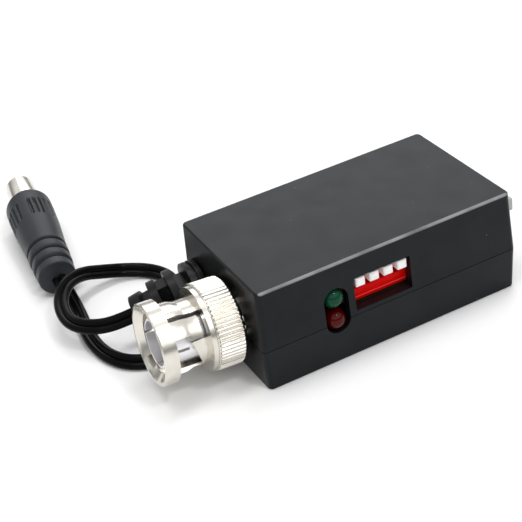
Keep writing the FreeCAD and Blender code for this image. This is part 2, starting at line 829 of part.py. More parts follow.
def make_plug_inside():
    """Insulator, centre pin, and the rings that seal the plug and press on the nut."""
    rear = "-1 * flange_start - 0.2"
    step = "insulator_front - insulator_recess"
    turned_piece("insulator", (
        (rear, "pin_radius"),
        (rear, "insulator_radius"),
        (step, "insulator_radius"),
        (step, "insulator_radius - insulator_step"),
        ("insulator_front", "insulator_radius - insulator_step"),
        ("insulator_front", "pin_radius"),
    ), plug_place())
    turned_piece("centre_pin", (
        (rear + " - pin_tail", "0"),
        (rear + " - pin_tail", "pin_radius / 2"),
        (rear, "pin_radius / 2"),
        (rear, "pin_radius"),
        ("pin_front - 0.9", "pin_radius"),
        ("pin_front - 0.3", "pin_radius - 0.3"),
        ("pin_front", "0"),
    ), plug_place())
    contact_rear = "shoulder_start + shoulder_thickness"
    loose_fit = "neck_radius + running_clearance"
    washer("plug_gasket", contact_rear, "gasket_thickness", "contact_radius", "nut_bore_radius - 0.15")
    washer("spring_washer", "shoulder_start - washer_thickness", "washer_thickness", loose_fit, "washer_radius")
    washer("thrust_washer", "nut_gap + nut_web + 0.05", "washer_thickness", loose_fit, "washer_radius")


def make_nut_grip():
    """Knurled ring of the coupling nut, with a bevelled rear edge."""
    body = turned_piece("nut_grip", (
        ("nut_gap", "neck_radius + running_clearance"),
        ("nut_gap", "grip_radius - 0.5"),
        ("nut_gap + 0.4", "grip_radius"),
        ("nut_gap + grip_length", "grip_radius"),
        ("nut_gap + grip_length", "sleeve_radius + collar_wall"),
        ("nut_gap + nut_web", "sleeve_radius + collar_wall"),
        ("nut_gap + nut_web", "neck_radius + running_clearance"),
    ), plug_place())
    groove = new_sketch(body, "knurl_groove", "YZ_Plane", "nut_gap + 0.2")
    add_outline(groove, (
        ("-1 * grip_groove", "grip_radius + 0.05"),
        ("0", "grip_radius - grip_groove"),
        ("grip_groove", "grip_radius + 0.05"),
    ))
    one = cut(body, "knurl_groove_cut", groove, "grip_length - 0.5", reverse=True)
    repeat_round(body, "knurl", [one], int(size("grip_ridges")))


def cylinder_wedge(radius_in, radius_out, low, high, start, stop):
    """A block between two radii, two stations along the axis and two angles."""
    outline = Part.Face(Part.makePolygon([
        FreeCAD.Vector(low, radius_in, 0),
        FreeCAD.Vector(high, radius_in, 0),
        FreeCAD.Vector(high, radius_out, 0),
        FreeCAD.Vector(low, radius_out, 0),
        FreeCAD.Vector(low, radius_in, 0),
    ]))
    outline.rotate(FreeCAD.Vector(0, 0, 0), FreeCAD.Vector(1, 0, 0), start)
    return outline.revolve(FreeCAD.Vector(0, 0, 0), FreeCAD.Vector(1, 0, 0), stop - start)


def cam_window(radius_in, radius_out, front, rear_start, rear_stop, start, stop, steps):
    """The bayonet window: a straight front edge and a helical rear edge, in short wedges."""
    pieces = []
    span = (stop - start) / steps
    for step in range(steps):
        share = (step + 0.5) / steps
        rear = rear_start + (rear_stop - rear_start) * share
        pieces.append(cylinder_wedge(
            radius_in, radius_out, rear, front, start + step * span, start + (step + 1) * span
        ))
    return pieces[0].fuse(pieces[1:]).removeSplitter()


def make_nut_sleeve():
    """Front of the coupling nut: band, slim sleeve with two bayonet cams, and front ring.

    The mating jack's studs slide in through the two entry grooves of the ring, pass under
    the spring tongues, and ride the helical edge of each window to the locked position.
    """
    front = size("nut_gap") + size("nut_length")
    rear = size("nut_gap") + size("nut_web")
    collar = size("sleeve_radius") + size("collar_wall")
    band_start = size("nut_gap") + size("grip_length")
    band_end = band_start + size("band_length")
    ring_start = front - size("nut_ring_length")
    chamber_end = size("chamber_end")
    chamber = size("chamber_radius")
    bore = size("nut_bore_radius")
    outline = [
        (rear, chamber),
        (rear, collar),
        (band_start, collar),
        (band_start, size("band_radius")),
        (band_end, size("band_radius")),
        (band_end, size("sleeve_radius")),
        (band_end + size("slope_start"), size("sleeve_radius")),
        (band_end + size("slope_end"), size("sleeve_front_radius")),
        (ring_start, size("sleeve_front_radius")),
        (ring_start, size("nut_ring_radius")),
        (front - 0.15, size("nut_ring_radius")),
        (front, size("nut_ring_radius") - 0.15),
        (front, size("mouth_radius")),
        (front - size("mouth_bevel"), bore),
        (chamber_end, bore),
        (chamber_end, chamber),
    ]
    points = [FreeCAD.Vector(along, radius, 0) for along, radius in outline]
    face = Part.Face(Part.makePolygon(points + points[:1]))
    solid = face.revolve(FreeCAD.Vector(0, 0, 0), FreeCAD.Vector(1, 0, 0), 360)
    inside = bore - 0.5
    through = size("sleeve_front_radius") + 0.3
    half_slit = math.degrees(size("slot_width") / 2 / size("sleeve_radius"))
    track_radius = size("stud_radius") - 0.3
    window = (size("window_start"), size("window_end"))
    # Angles round the axis, in degrees from the side, of the slit, entry, lock and window
    slit_angle = 63
    slit_low, slit_high = slit_angle - half_slit, slit_angle + half_slit
    entry_start, entry_stop = 51, 75
    lock_start, lock_stop = 17.5, 20.5
    window_low, window_high = -50, 29
    for half_turn in (0, 180):
        for tool in (
            cylinder_wedge(inside, through, band_end - 0.1, ring_start, slit_low, slit_high),
            cylinder_wedge(inside, size("stud_radius") + 0.2, ring_start, front + 0.5, entry_start, entry_stop),
            cylinder_wedge(inside, track_radius, window[1] + 0.1, ring_start, window_high - 1, entry_stop),
            cylinder_wedge(inside, through, band_end, band_end + size("tongue_slot"), lock_start + 0.5, slit_angle),
            cylinder_wedge(inside, through, band_end + 0.5, window[1], lock_start, lock_stop),
            cam_window(inside, through, ring_start, *window, window_low, window_high, 12),
        ):
            tool.rotate(FreeCAD.Vector(0, 0, 0), FreeCAD.Vector(1, 0, 0), half_turn)
            solid = solid.cut(tool)
    sleeve = doc.addObject("Part::Feature", "nut_sleeve")
    sleeve.Label = "nut_sleeve"
    sleeve.Shape = solid
    sleeve.Placement = plug_place()


# Strain relief, cord and power plug

def make_strain_relief():
    """Four rings on a bent middle line, joined by webs that lie flat and upright by turns."""
    flat = FreeCAD.Rotation(FreeCAD.Vector(0, 1, 0), 90)
    pieces = []
    ring_4 = "relief_ring_first + relief_ring_pitch * 2"
    web_length = "relief_ring_pitch - relief_ring + relief_bite * 2"
    web_start = "relief_ring_first + relief_ring - relief_bite + relief_ring_pitch * "
    rings = (
        ("collar", "0", "relief_collar", "relief_base_radius"),
        ("collar_groove", "0", "relief_lip_start + relief_lip / 2", "relief_base_radius - relief_collar_step"),
        ("ring_1", "relief_lip_start", "relief_lip", "relief_base_radius"),
        ("ring_2", "relief_ring_first", "relief_ring", "relief_base_radius"),
        ("ring_3", "relief_ring_first + relief_ring_pitch", "relief_ring", "relief_base_radius - relief_bite"),
        ("ring_4", ring_4, "relief_length - relief_ring_first - relief_ring_pitch * 2", "relief_end_radius"),
    )
    for name, start, length, radius in rings:
        disc = doc.addObject("Part::Cylinder", "relief_" + name)
        bind(disc, "Radius", radius)
        bind(disc, "Height", length)
        place = relief_spot(value_of(start) + value_of(length) / 2)
        middle = FreeCAD.Placement(FreeCAD.Vector(-value_of(length) / 2, 0, 0), flat)
        disc.Placement = place.multiply(middle)
        pieces.append(disc)
    webs = (
        ("web_1", web_start + "-1", web_length, "relief_base_radius - relief_web_inset", "relief_web"),
        ("web_2", web_start + "0", web_length, "relief_web", "relief_base_radius - relief_web_inset"),
        ("web_3", web_start + "1", web_length, "relief_end_radius - relief_web_inset / 2", "relief_web"),
    )
    for name, start, length, half_width, half_height in webs:
        web = doc.addObject("Part::Box", "relief_" + name)
        bind(web, "Length", length)
        bind(web, "Width", "( %s ) * 2" % half_width)
        bind(web, "Height", "( %s ) * 2" % half_height)
        place = relief_spot(value_of(start) + value_of(length) / 2)
        corner = FreeCAD.Vector(-value_of(length) / 2, -value_of(half_width), -value_of(half_height))
        web.Placement = place.multiply(FreeCAD.Placement(corner, FreeCAD.Rotation()))
        pieces.append(web)
    for name, start, length, radius in (
        ("relief_neck", "-1 * case_length / 2 - 0.4", "cavity_inset + 0.9", "relief_neck_radius"),
        ("relief_flange", "-1 * case_length / 2 + cavity_inset + 0.1", "1.2", "relief_flange_radius"),
    ):
        disc = doc.addObject("Part::Cylinder", name)
        bind(disc, "Radius", radius)
        bind(disc, "Height", length)
        disc.Placement = FreeCAD.Placement(FreeCAD.Vector(0, 0, 0), flat)
        bind(disc, "Placement.Base.x", start)
        bind(disc, "Placement.Base.y", "relief_y")
        bind(disc, "Placement.Base.z", "relief_z")
        pieces.append(disc)
    relief = doc.addObject("Part::MultiFuse", "strain_relief")
    relief.Shapes = pieces
    relief.Label = "strain_relief"


def cord_ends():
    """Where the cord starts inside the relief and where it stops inside the power plug."""
    start = relief_spot(size("relief_length")).multVec(FreeCAD.Vector(-size("cord_entry"), 0, 0))
    stop = power_plug_place().multVec(FreeCAD.Vector(size("cord_entry"), 0, 0))
    return start, stop


# Middle line of the lead, from the strain relief round its one loose loop to the power plug
CORD_POINTS = (
    (-38.0, 11.2, 5.5),
    (-41.8, 13.3, 5.2),
    (-44.0, 16.8, 4.9),
    (-44.1, 21.0, 4.8),
    (-42.7, 25.0, 5.1),
    (-40.1, 28.3, 5.5),
    (-36.6, 30.5, 4.6),
    (-32.8, 31.4, 2.9),
    (-28.75, 31.3, 1.6),
    (-25.1, 29.2, 1.15),
    (-23.1, 25.7, 1.1),
    (-23.1, 21.5, 1.1),
    (-24.0, 17.4, 1.1),
    (-25.2, 13.4, 1.1),
    (-25.8, 9.4, 1.1),
    (-27.8, 5.9, 1.1),
    (-31.3, 3.9, 1.1),
    (-35.3, 3.9, 1.1),
    (-38.8, 5.9, 1.1),
    (-40.8, 9.4, 1.1),
    (-41.5, 13.5, 1.1),
    (-41.3, 17.9, 1.1),
    (-40.6, 22.3, 1.1),
    (-40.1, 26.4, 1.3),
    (-40.0, 30.1, 2.4),
)
PLUG_REAR = (-40.3, 33.4, 3.66)
PLUG_HEADING = (4.1, 27.7, 1.0)


def power_plug_place():
    across, along, rise = PLUG_HEADING
    swing = math.degrees(math.atan2(along, across))
    tilt = math.degrees(math.atan2(rise, math.hypot(across, along)))
    return FreeCAD.Placement(FreeCAD.Vector(*PLUG_REAR), turned(180 - swing, tilt))


def cord_path():
    """Straight runs joined by tangent arcs, each as large as its two runs allow."""
    start, stop = cord_ends()
    points = [start] + [FreeCAD.Vector(*p) for p in CORD_POINTS] + [stop]
    edges = []
    radii = []
    length = 0.0
    last = points[0]
    for before, here, after in zip(points, points[1:], points[2:]):
        back = (before - here).normalize()
        on = (after - here).normalize()
        turn = math.pi - back.getAngle(on)
        run = min(before.distanceToPoint(here), here.distanceToPoint(after))
        reach = 0.45 * run
        radius = reach / math.tan(turn / 2)
        enter = here + back * reach
        leave = here + on * reach
        inward = (back + on).normalize()
        middle = here + inward * (radius / math.cos(turn / 2) - radius)
        edges.append(Part.LineSegment(last, enter).toShape())
        edges.append(Part.Arc(enter, middle, leave).toShape())
        length += last.distanceToPoint(enter) + radius * turn
        radii.append(radius)
        last = leave
    edges.append(Part.LineSegment(last, points[-1]).toShape())
    length += last.distanceToPoint(points[-1])
    return Part.Wire(edges), length, radii


def make_cord():
    path, length, radii = cord_path()
    radius = size("cord_diameter") / 2
    start = path.OrderedVertexes[0].Point
    tangent = path.OrderedEdges[0].tangentAt(path.OrderedEdges[0].FirstParameter)
    ring = Part.Wire([Part.Circle(start, tangent, radius).toShape()])
    tube = path.makePipeShell([ring], True, False)
    expected = math.pi * radius ** 2 * length
    print("cord length %.1f mm, volume %.1f of %.1f" % (length, tube.Volume, expected))
    print("cord radii " + " ".join("%.1f" % r for r in radii))
    if abs(tube.Volume / expected - 1) > 0.01:
        raise RuntimeError("the cord's volume is not its section times its length")
    cord = doc.addObject("Part::Feature", "power_cord")
    cord.Label = "power_cord"
    cord.Shape = tube


def make_power_plug():
    place = power_plug_place()
    body = new_body("power_plug_grip")
    profile = new_sketch(body, "grip_profile", "XY_Plane")
    rear = "power_plug_rear_radius"
    front = "power_plug_front_radius"
    outline = [("0", "0"), ("0", rear + " - 0.3"), ("0.3", rear)]
    for number in range(3):
        middle = "ring_groove_first + ring_groove_pitch * %d" % number
        low = middle + " - ring_groove_width / 2"
        high = middle + " + ring_groove_width / 2"
        lift = " + %.2f" % (0.1 + 0.08 * number)
        outline += [
            (low, rear + lift),
            (low, rear + lift + " - ring_groove_depth"),
            (high, rear + lift + " - ring_groove_depth"),
            (high, rear + lift),
        ]
    outline += [
        ("power_plug_length - power_plug_nose - 3", front),
        ("power_plug_length - power_plug_nose", front),
        ("power_plug_length - power_plug_nose / 2", front + " - power_plug_nose / 7"),
        ("power_plug_length - power_plug_nose / 7", front + " - power_plug_nose / 2"),
        ("power_plug_length", "barrel_radius + 0.3"),
        ("power_plug_length", "0"),
    ]
    add_outline(profile, outline)
    revolve(body, "grip_turned", profile)
    slot = new_sketch(body, "grip_slot", "XY_Plane", "power_plug_front_radius - grip_slot_depth")
    far = "power_plug_length - power_plug_nose - 1.2"
    half = "grip_slot_width / 2"
    add_rectangle(slot, far + " - grip_slot_length", "-1 * " + half, far, half)
    one = cut(body, "grip_slot_cut", slot, "grip_slot_depth + 0.5", reverse=True)
    group = doc.addObject("PartDesign::PolarPattern", "grip_slot_group")
    around = doc.addObject("PartDesign::PolarPattern", "grip_slot_sides")
    for pattern, angle, count in ((group, 56, 5), (around, 360, 4)):
        pattern.Axis = (origin_plane(body, "X_Axis"), [""])
        pattern.Angle = angle
        pattern.Occurrences = count
    both = body.newObject("PartDesign::MultiTransform", "grip_slots_all")
    both.Originals = [one]
    both.Transformations = [group, around]
    body.Tip = both
    doc.recompute()
    body.Placement = place
    start = "power_plug_length"
    end = "power_plug_length + barrel_length"
    turned_piece("power_plug_barrel", (
        (start, "barrel_bore"),
        (start, "barrel_radius"),
        (end + " - 0.4", "barrel_radius"),
        (end, "barrel_radius - 0.3"),
        (end, "barrel_bore"),
    ), place)
    turned_piece("power_plug_insulator", (
        (start, "power_pin_bore + contact_sheet"),
        (start, "barrel_bore"),
        (end + " + 0.2", "barrel_bore"),
        (end + " + 0.2", "power_pin_bore + contact_sheet"),
    ), place)
    turned_piece("power_plug_contact", (
        (start, "power_pin_bore"),
        (start, "power_pin_bore + contact_sheet"),
        (end + " - 0.6", "power_pin_bore + contact_sheet"),
        (end + " - 0.6", "power_pin_bore"),
    ), place)


# Push terminals

def terminal_y(number):
    return "terminal_pitch * %s" % (number - 2.5)


def make_terminals():
    """Four ganged cells: a round wire hole below each button, and a pocket for the button."""
    floor = "board_bottom + board_thickness"
    for number in range(1, 5):
        body = new_body("terminal_cell_%d" % number)
        plate = new_sketch(body, body.Name + "_outline", "YZ_Plane", "terminal_left")
        side = "terminal_pitch / 2 - cell_gap / 2"
        add_rectangle(plate, "-1 * " + side.replace(" - ", " + "), floor, side, "terminal_top")
        pad(body, body.Name + "_block", plate, "terminal_depth")
        hole = new_sketch(body, body.Name + "_wire_hole", "YZ_Plane", "terminal_right + 1")
        add_circle(hole, "0", "wire_hole_z", "wire_hole_radius")
        cut(body, body.Name + "_wire_hole_cut", hole, "wire_hole_depth + 1")
        pocket = new_sketch(body, body.Name + "_pocket", "YZ_Plane", "terminal_right + 1")
        half = "button_width / 2 + button_clearance"
        low = "button_z - button_height / 2 - button_clearance"
        high = "button_z + button_height / 2 + button_clearance"
        add_rectangle(pocket, "-1 * " + half.replace("+", "-"), low, half, high)
        cut(body, body.Name + "_pocket_cut", pocket, "button_root + button_travel + 1.2")
        bind(body, "Placement.Base.y", terminal_y(number))


def make_buttons():
    for number in range(1, 5):
        body = new_body("terminal_button_%d" % number)
        face = new_sketch(body, body.Name + "_outline", "YZ_Plane")
        add_rectangle(
            face, "-1 * button_width / 2", "-1 * button_height / 2", "button_width / 2", "button_height / 2"
        )
        block = pad(body, body.Name + "_block", face, "button_root + button_reach")
        tip = edges_where(block.Shape, lambda box: box.XMin > 1)
        soften(body, body.Name + "_edges", block, tip, "button_height / 6")
        bind(body, "Placement.Base.x", "terminal_right - button_root")
        bind(body, "Placement.Base.y", terminal_y(number))
        bind(body, "Placement.Base.z", "button_z")


make_upper_shell()
make_lower_shell()
make_screws()
make_board()
make_lamps()
make_switch()
make_sliders()
make_parts_on_board()
make_plug_body()
make_outer_contact()
make_plug_inside()
make_nut_grip()
make_nut_sleeve()
make_strain_relief()
make_cord()
make_power_plug()
make_terminals()
make_buttons()
doc.recompute()

# Check every object, then write each sub-part
NODES = [
    "upper_shell", "lower_shell", "case_screw_far", "case_screw_near", "circuit_board",
    "lamp_green", "lamp_green_leads", "lamp_red", "lamp_red_leads",
    "switch_body", "switch_slider_1", "switch_slider_2", "switch_slider_3", "switch_slider_4",
    "smoothing_capacitor", "line_driver_chip", "balun_core", "balun_winding_input", "balun_winding_output",
    "plug_body", "outer_contact", "insulator", "centre_pin", "plug_gasket", "spring_washer", "thrust_washer",
    "nut_grip", "nut_sleeve", "strain_relief", "power_cord",
    "power_plug_grip", "power_plug_barrel", "power_plug_insulator", "power_plug_contact",
    "terminal_cell_1", "terminal_cell_2", "terminal_cell_3", "terminal_cell_4",
    "terminal_button_1", "terminal_button_2", "terminal_button_3", "terminal_button_4",
]
for thing in doc.Objects:
    if "Invalid" in thing.State or "Error" in thing.State:
        raise RuntimeError(thing.Label + " failed")
os.makedirs("parts", exist_ok=True)
for node in NODES:
    piece = doc.getObjectsByLabel(node)[0]
    shape = piece.Shape
    if shape.isNull() or not shape.isValid():
        raise RuntimeError(node + " has no valid shape")
    shape.exportStep("parts/%s.step" % node)
    print(node, "solids", len(shape.Solids), "volume %.1f" % shape.Volume)
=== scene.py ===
# %% [markdown]
# # A small video converter with a bayonet plug, rebuilt for rendering
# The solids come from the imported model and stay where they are. This file gives them
# their looks: it adds the camera and the light, dresses the solids with bevels and
# procedural materials, and replaces those whose real surface is finer than the solid.
# Every step has a few words on what the piece is and why it is made this way.

# %% Load the frame
import json
import math

import bmesh
import bpy
import numpy as np
from mathutils import Matrix, Vector


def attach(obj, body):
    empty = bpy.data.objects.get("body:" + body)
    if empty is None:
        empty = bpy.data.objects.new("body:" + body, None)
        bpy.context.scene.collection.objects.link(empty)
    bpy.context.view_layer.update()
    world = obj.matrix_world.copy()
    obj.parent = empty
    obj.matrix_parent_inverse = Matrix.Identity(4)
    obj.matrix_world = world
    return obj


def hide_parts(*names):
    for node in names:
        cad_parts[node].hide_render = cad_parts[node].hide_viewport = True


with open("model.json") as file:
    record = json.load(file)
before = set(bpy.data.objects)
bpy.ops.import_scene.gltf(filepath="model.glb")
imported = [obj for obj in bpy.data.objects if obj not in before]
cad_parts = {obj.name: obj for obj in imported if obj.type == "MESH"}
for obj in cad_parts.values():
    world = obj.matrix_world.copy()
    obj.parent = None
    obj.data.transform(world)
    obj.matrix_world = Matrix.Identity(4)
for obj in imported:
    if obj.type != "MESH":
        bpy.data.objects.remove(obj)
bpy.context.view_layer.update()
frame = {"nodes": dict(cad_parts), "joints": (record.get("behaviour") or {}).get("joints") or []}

MM = 0.001
nodes = frame["nodes"]

# %% [markdown]
# ## Camera
# The photograph was taken from the left and a little above, with a longer lens and the
# camera rolled by nearly nine degrees. Such a view can be set by eye, but here the place
# and the angles were fitted to the edges of the case, so that the two pictures lie over
# each other. Places are in millimetres and angles in degrees.

# %% Camera
CAMERA_PLACE = (-88.34, -170.05, 133.25)
CAMERA_TURN, CAMERA_DIP, CAMERA_ROLL = 23.135, 32.655, -8.75
LENS, SENSOR_WIDTH = 95.43, 36
SHIFT_RIGHT, SHIFT_UP = 0.0007, -0.0048
NEAREST_SEEN = 0.01

camera = bpy.data.objects.new("camera", bpy.data.cameras.new("camera"))
bpy.context.scene.collection.objects.link(camera)
camera.matrix_world = (
    Matrix.Translation(Vector(CAMERA_PLACE) * MM)
    @ Matrix.Rotation(math.radians(-CAMERA_TURN), 4, "Z")
    @ Matrix.Rotation(math.radians(90 - CAMERA_DIP), 4, "X")
    @ Matrix.Rotation(math.radians(CAMERA_ROLL), 4, "Z")
)
camera.data.lens = LENS
camera.data.sensor_width = SENSOR_WIDTH
camera.data.shift_x = SHIFT_RIGHT
camera.data.shift_y = SHIFT_UP
camera.data.clip_start = NEAREST_SEEN
bpy.context.scene.camera = camera
bpy.context.scene.view_settings.view_transform = "Standard"
print("camera", CAMERA_PLACE, "lens", LENS)

# %% [markdown]
# ## Small helpers for materials
# A material here is one Principled BSDF whose colour, roughness and bump come from
# patterns on Object coordinates, so a pattern stays on its piece when the piece moves.
# Nodes could be placed one by one for every material, but a few short functions say the
# same in words: a sum, a change of range, a noise, a mix of two colours. A Mix node has
# several sockets of the same name, so its colour sockets are called by number.

# %% Node helpers
MIX_FACTOR, MIX_FIRST, MIX_SECOND, MIX_RESULT = 0, 6, 7, 2


def grey(level):
    """A colour with the same level of red, green and blue."""
    return (level, level, level)


def is_socket(value):
    """Whether a value comes out of a node, and isn't a plain number or colour."""
    return isinstance(value, bpy.types.NodeSocket)


def add_node(tree, kind, inputs=(), **settings):
    """One node, with its input values or links given by socket name or number."""
    node = tree.nodes.new(kind)
    for key, value in settings.items():
        setattr(node, key, value)
    for key, value in dict(inputs).items():
        if is_socket(value):
            tree.links.new(value, node.inputs[key])
        else:
            node.inputs[key].default_value = value
    return node


def math_node(tree, operation, *values):
    """The result of one Math node on up to three values or sockets."""
    return add_node(tree, "ShaderNodeMath", enumerate(values), operation=operation).outputs[0]


def ranged(tree, value, low, high, at_low=0.0, at_high=1.0):
    """The value carried in a straight line from low and high to two results, and held past them."""
    limits = {"Value": value, "From Min": low, "From Max": high, "To Min": at_low, "To Max": at_high}
    return add_node(tree, "ShaderNodeMapRange", limits).outputs[0]


def noise(tree, place, scale, detail):
    """Smooth unevenness between nought and one; the scale counts its swells in a metre."""
    pattern = {"Vector": place, "Scale": scale, "Detail": detail}
    return add_node(tree, "ShaderNodeTexNoise", pattern).outputs["Fac"]


def mixed(tree, factor, first, second):
    """The first colour where the factor is nought, the second where it is one."""
    mix = add_node(tree, "ShaderNodeMix", {MIX_FACTOR: factor}, data_type="RGBA")
    for number, colour in ((MIX_FIRST, first), (MIX_SECOND, second)):
        if is_socket(colour):
            tree.links.new(colour, mix.inputs[number])
        else:
            mix.inputs[number].default_value = (*colour, 1.0)
    return mix.outputs[MIX_RESULT]


# %% [markdown]
# ## Patterns that several finishes share
# Four patterns are node groups: the grain of a moulded surface, the fine marks of a
# plated one, specks of dust, and a painted highlight, a pale line along an edge. A group
# is built once, and each material sets it to its own values. It puts out only masks and
# heights, so the shader itself stays in the material.

# %% Group helper
def group_tree(name, numbers, results):
    """A group with a Vector input, inputs for numbers with their usual values, and results."""
    tree = bpy.data.node_groups.new(name, "ShaderNodeTree")
    tree.interface.new_socket("Vector", in_out="INPUT", socket_type="NodeSocketVector")
    for label, value in numbers.items():
        socket = tree.interface.new_socket(label, in_out="INPUT", socket_type="NodeSocketFloat")
        socket.default_value = value
    for label in results:
        tree.interface.new_socket(label, in_out="OUTPUT", socket_type="NodeSocketFloat")
    return tree, tree.nodes.new("NodeGroupInput").outputs, tree.nodes.new("NodeGroupOutput").inputs


# %% [markdown]
# The grain of a moulded plastic is spark erosion from the mould: tiny rounded pits about
# a seventh of a millimetre across, with a slower unevenness over a few millimetres.

# %% Moulded grain group
PIT_SHARE, DRIFT_SHARE = 0.4, 0.6

grain, taken, given = group_tree(
    "moulded_grain", {"Pits per metre": 7000.0, "Drift per metre": 220.0}, ("Tone", "Height")
)
pits = noise(grain, taken["Vector"], taken["Pits per metre"], detail=2.0)
drift = noise(grain, taken["Vector"], taken["Drift per metre"], detail=3.0)
pit_tone = math_node(grain, "MULTIPLY", pits, PIT_SHARE)
grain.links.new(math_node(grain, "MULTIPLY_ADD", drift, DRIFT_SHARE, pit_tone), given["Tone"])
grain.links.new(pits, given["Height"])
print("group", grain.name)

# %% [markdown]
# Bright nickel plate is smooth, but the turned brass under it leaves faint lines round
# the plug's axis, which lies nearly along X, and handling leaves a cloudy film that makes
# some places less sharp. A noise that is stretched across X draws the lines.

# %% Plated metal group
LINE_STRETCH = (1.0, 0.06, 0.06)
FILM_LOW, FILM_HIGH = 0.35, 0.7

plate, taken, given = group_tree(
    "plated_marks", {"Lines per metre": 5000.0, "Film per metre": 350.0}, ("Film", "Height")
)
stretch = {0: taken["Vector"], 1: LINE_STRETCH}
stretched = add_node(plate, "ShaderNodeVectorMath", stretch, operation="MULTIPLY").outputs[0]
plate.links.new(noise(plate, stretched, taken["Lines per metre"], detail=3.0), given["Height"])
film = noise(plate, taken["Vector"], taken["Film per metre"], detail=4.0)
plate.links.new(ranged(plate, film, FILM_LOW, FILM_HIGH), given["Film"])
print("group", plate.name)

# %% [markdown]
# Dark plastic always carries a few pale specks of dust or mould flash. A Voronoi
# pattern gives scattered centres; only a surface that passes close by one shows a dot.

# %% Dust group
dust, taken, given = group_tree("dust_specks", {"Cells per metre": 320.0, "Reach": 0.032}, ("Mask",))
spread = {"Vector": taken["Vector"], "Scale": taken["Cells per metre"]}
distance = add_node(dust, "ShaderNodeTexVoronoi", spread).outputs["Distance"]
dust.links.new(ranged(dust, distance, taken["Reach"], 0.0), given["Mask"])
print("group", dust.name)

# %% [markdown]
# The long edges round the lid carry a painted highlight: a pale line in the colour where
# a rounded edge would catch the light. The mask follows the sum of two distances, above
# the top plane and past the planes of the sides. Only along an edge is that sum near
# nought, so the mask draws a narrow line there, stronger in some places than in others.

# %% Painted edge highlight group
# Strength of the painted highlight along the edge, varied by a slow noise.
HIGHLIGHT_PATCH_LOW, HIGHLIGHT_PATCH_HIGH, WEAKEST_HIGHLIGHT = 0.3, 0.6, 0.45

edge_highlight_group, taken, given = group_tree("painted_edge_highlight", {
    "Half length": 0.02336, "Half width": 0.01326, "Top": 0.018,
    "Inner": -0.00042, "Outer": -0.00026, "Patches per metre": 180.0,
}, ("Mask",))
axes = add_node(edge_highlight_group, "ShaderNodeSeparateXYZ", {"Vector": taken["Vector"]})
above_top = math_node(edge_highlight_group, "SUBTRACT", axes.outputs["Z"], taken["Top"])
past_sides = [
    math_node(edge_highlight_group, "SUBTRACT", math_node(edge_highlight_group, "ABSOLUTE", axes.outputs[axis]), taken[half])
    for axis, half in (("X", "Half length"), ("Y", "Half width"))
]
reach = math_node(edge_highlight_group, "ADD", above_top, math_node(edge_highlight_group, "MAXIMUM", *past_sides))
edge_line = ranged(edge_highlight_group, reach, taken["Inner"], taken["Outer"])
patches = noise(edge_highlight_group, taken["Vector"], taken["Patches per metre"], detail=3.0)
strength = ranged(edge_highlight_group, patches, HIGHLIGHT_PATCH_LOW, HIGHLIGHT_PATCH_HIGH, WEAKEST_HIGHLIGHT, 1.0)
edge_highlight_group.links.new(math_node(edge_highlight_group, "MULTIPLY", edge_line, strength), given["Mask"])
print("group", edge_highlight_group.name)

# %% [markdown]
# A finish is a colour that drifts between two tones, a roughness that drifts between two
# values, and a shallow bump. Constants such as the specular level sit on the shader itself.

# %% Finish helpers
def principled(name, settings):
    """A new material, its tree and its Principled BSDF, set where it is the same all over."""
    material = bpy.data.materials.new(name)
    material.use_nodes = True
    shader = material.node_tree.nodes["Principled BSDF"]
    for key, value in settings.items():
        shader.inputs[key].default_value = value
    return material, material.node_tree, shader


def object_place(tree):
    """The place on the piece, in metres: its Object coordinates."""
    return add_node(tree, "ShaderNodeTexCoord").outputs["Object"]


def pattern_of(tree, group, place, numbers=()):
    """The outputs of a node group at a place, with the material's own values."""
    inputs = {"Vector": place, **dict(numbers)}
    return add_node(tree, "ShaderNodeGroup", inputs, node_tree=group).outputs


def give_finish(tree, shader, colour, tone, rough):
    """Colour, and a roughness that goes from one value to the other with the tone."""
    tree.links.new(colour, shader.inputs["Base Color"])
    tree.links.new(ranged(tree, tone, 0.0, 1.0, *rough), shader.inputs["Roughness"])


def give_bump(tree, shader, height, strength, depth):
    """A bump from a height between nought and one, to a depth in metres."""
    relief = add_node(tree, "ShaderNodeBump", {"Strength": strength, "Distance": depth, "Height": height})
    tree.links.new(relief.outputs[0], shader.inputs["Normal"])


# %% [markdown]
# Moulded plastic and rubber differ in tone, gloss and size of pits, and are otherwise
# alike, so one function makes them all. Where a part lies open, a painted edge highlight
# and dust are laid over its colour as two more masks.

# %% Moulded finish
PIT_DEPTH = 0.00002
TONE_LOW, TONE_HIGH = 0.38, 0.62


def moulded(name, dark, pale, rough=(0.4, 0.5), bump=0.06, pits=7000.0, dusty=0, edge_highlight=0, settings=()):
    """A moulded plastic or rubber: two tones, uneven gloss, fine pits, a painted edge highlight and dust.
    """
    material, tree, shader = principled(name, dict(settings))
    place = object_place(tree)
    skin = pattern_of(tree, grain, place, {"Pits per metre": pits})
    tone = ranged(tree, skin["Tone"], TONE_LOW, TONE_HIGH)
    colour = mixed(tree, tone, dark, pale)
    # The edge highlight is painted light laid into the colour; the dust specks are real.
    for level, group in ((edge_highlight, edge_highlight_group), (dusty, dust)):
        if level:
            colour = mixed(tree, pattern_of(tree, group, place)["Mask"], colour, grey(level))
    give_finish(tree, shader, colour, tone, rough)
    give_bump(tree, shader, skin["Height"], bump, PIT_DEPTH)
    return material


# %% [markdown]
# A plated metal takes nearly all its looks from what it reflects. Only its cloudy film
# changes its tone and gloss, and the lines of the lathe give it a bump that is hardly seen.

# %% Plated finish
LINE_DEPTH = 0.00001


